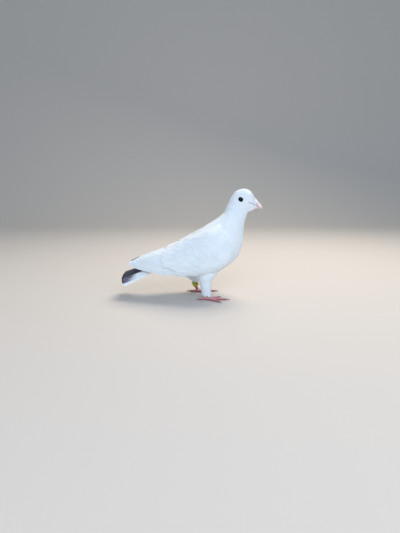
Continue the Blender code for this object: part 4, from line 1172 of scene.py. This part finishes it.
for leg, side in LEG_SIDE.items():
    x, y = FOOT_X[leg], LEG_Y * side
    flesh = [hub_rings(leg)]
    horny = []
    for toe, spread_deg in TOE_SPREAD.items():
        turn = math.radians(spread_deg) * side
        flesh.append(toe_rings(x, y, turn, toe))
        t = np.linspace(0, 1, 20)
        reach = TOE_LENGTH[toe] - 1.2 + (CLAW_LENGTH[toe] + 1.2) * t
        height = 1.85 + 1.2 * t - 2.6 * t**2
        path = np.stack([x + reach * math.cos(turn), y + reach * math.sin(turn), height], -1)
        horny.append(tube_along(path, 1.35 * (1 - t) ** 0.75 + 0.12, around=14))
    stack = np.stack(flesh)
    whiten = smooth_step(0.0, 1.0, (stack[..., 2:3] - 1.0) / 4.0)
    tint = FOOT_RED * (1 - whiten) + FOOT_PINK * whiten
    piece(f"toes_{leg}", [stack], scales, tint=tint, stands_for=(f"foot_{leg}",))
    piece(f"scaled_shank_{leg}", [shank_rings(leg)[None]], scales, tint=FOOT_RED,
          stands_for=(f"shank_{leg}",))
    piece(f"claws_{leg}", [np.stack(horny)], claw_horn,
          stands_for=tuple(f"claw_{toe}_{leg}" for toe in TOE_SPREAD))

# %% [markdown]
# The ring on the left leg is a plain band of olive-yellow plastic, moulded, with rounded rims and a little
# wear. It hangs loose on the shank and leans with it. It bears no lettering.

# %% The leg ring
RING_RADII = (3.5, 5.3)
RING_HEIGHT = 9.5
RING_Z = 16.0


def band_rings(sides=72):
    """A round band square to the shank: its section is a rounded rectangle, carried round the shank's line."""
    low = np.array((FOOT_X["left"], LEG_Y, ANKLE_Z))
    high = np.array((HOCK["left"][0], LEG_Y, HOCK["left"][1]))
    way = (high - low) / np.linalg.norm(high - low)
    middle = low + way * (RING_Z - low[2]) / way[2]
    across = np.cross(way, (0.0, 1.0, 0.0))
    across /= np.linalg.norm(across)
    other = np.cross(way, across)
    small = turns(28)
    square = 0.25
    radial = np.sign(np.cos(small)) * np.abs(np.cos(small)) ** square
    axial = np.sign(np.sin(small)) * np.abs(np.sin(small)) ** square
    radius = np.mean(RING_RADII) + radial * (RING_RADII[1] - RING_RADII[0]) / 2
    turn = turns(sides)
    spoke = np.cos(turn)[:, None] * across + np.sin(turn)[:, None] * other
    return middle + spoke[:, None] * radius[None, :, None] + way * (axial * RING_HEIGHT / 2)[None, :, None]


# Moulded plastic: olive yellow, taken off its newness by darker grime in spots about 4 mm wide.
plastic = patterned("moulded_ring_plastic", "TexNoise", {"Scale": 260.0, "Detail": 5.0, "Roughness": 0.65},
                    shade=(0.42, 0.66, 0.0, 1.0), colours=("B7B52B", "6E6A1C"), relief=(0.15, 0.0002),
                    Roughness=0.35, Subsurface_Weight=0.08, Subsurface_Scale=0.001, Coat_Weight=0.15,
                    Coat_Roughness=0.3)
piece("ring_band", [band_rings()[None]], plastic, stands_for=("leg_ring",), closed=True)

# %% [markdown]
# The stage is a pale floor that curves up into a backdrop. A warm light from above and behind draws the
# bright edge along the back and neck, and a broad cool one fills the near side.

# %% The stage and the lights
u, v = grid(np.linspace(-1.6, 1.6, 2), np.linspace(0, 1, 40))
bend = np.clip((v - 0.55) / 0.25, 0, 1) * math.pi / 2
RADIUS = 0.7
stage_y = np.interp(v, (0, 0.55), (-1.4, 1.2)) + RADIUS * np.sin(bend)
stage_z = RADIUS * (1 - np.cos(bend)) + np.clip((v - 0.8) / 0.2, 0, 1) * 1.6
mesh = bpy.data.meshes.new("floor")
corners = np.stack([u, stage_y, stage_z], -1).reshape(-1, 3)
i = np.arange(39)
mesh.from_pydata(corners.tolist(), [], np.stack([i, i + 40, i + 41, i + 1], -1).tolist())
mesh.shade_smooth()
floor = bpy.data.objects.new("floor", mesh)
bpy.context.scene.collection.objects.link(floor)
# Matt pale paper, a quiet ground that keeps the eye on the bird.
paper = surface("pale_stage_paper", Base_Color=colour("CFCBC6"), Roughness=0.9)[0]
mesh.materials.append(paper)


def lamp(name, place, aim, size, power, tone):
    """A square area light at a place, turned to face a point."""
    light = bpy.data.lights.new(name, "AREA")
    light.size = size
    light.energy = power
    light.color = linear(tone)
    made = bpy.data.objects.new(name, light)
    away = np.array(place) - np.array(aim)
    made.location = place
    made.rotation_euler = (math.acos(away[2] / np.linalg.norm(away)), 0.0, math.atan2(away[0], -away[1]))
    bpy.context.scene.collection.objects.link(made)
    return made


AIM = (0.0, 0.0, 0.1)
lamp("key_above", (0.35, 0.45, 1.1), AIM, 0.7, 13.0, "FFF1DF")
lamp("fill_near", (0.25, -1.3, 0.75), AIM, 1.4, 17.0, "DDEBFF")
world = bpy.data.worlds.new("studio")
world.use_nodes = True
world.node_tree.nodes["Background"].inputs[0].default_value = colour("DDE8F4")
world.node_tree.nodes["Background"].inputs[1].default_value = 0.45
bpy.context.scene.world = world
bpy.context.scene.view_settings.view_transform = "Standard"
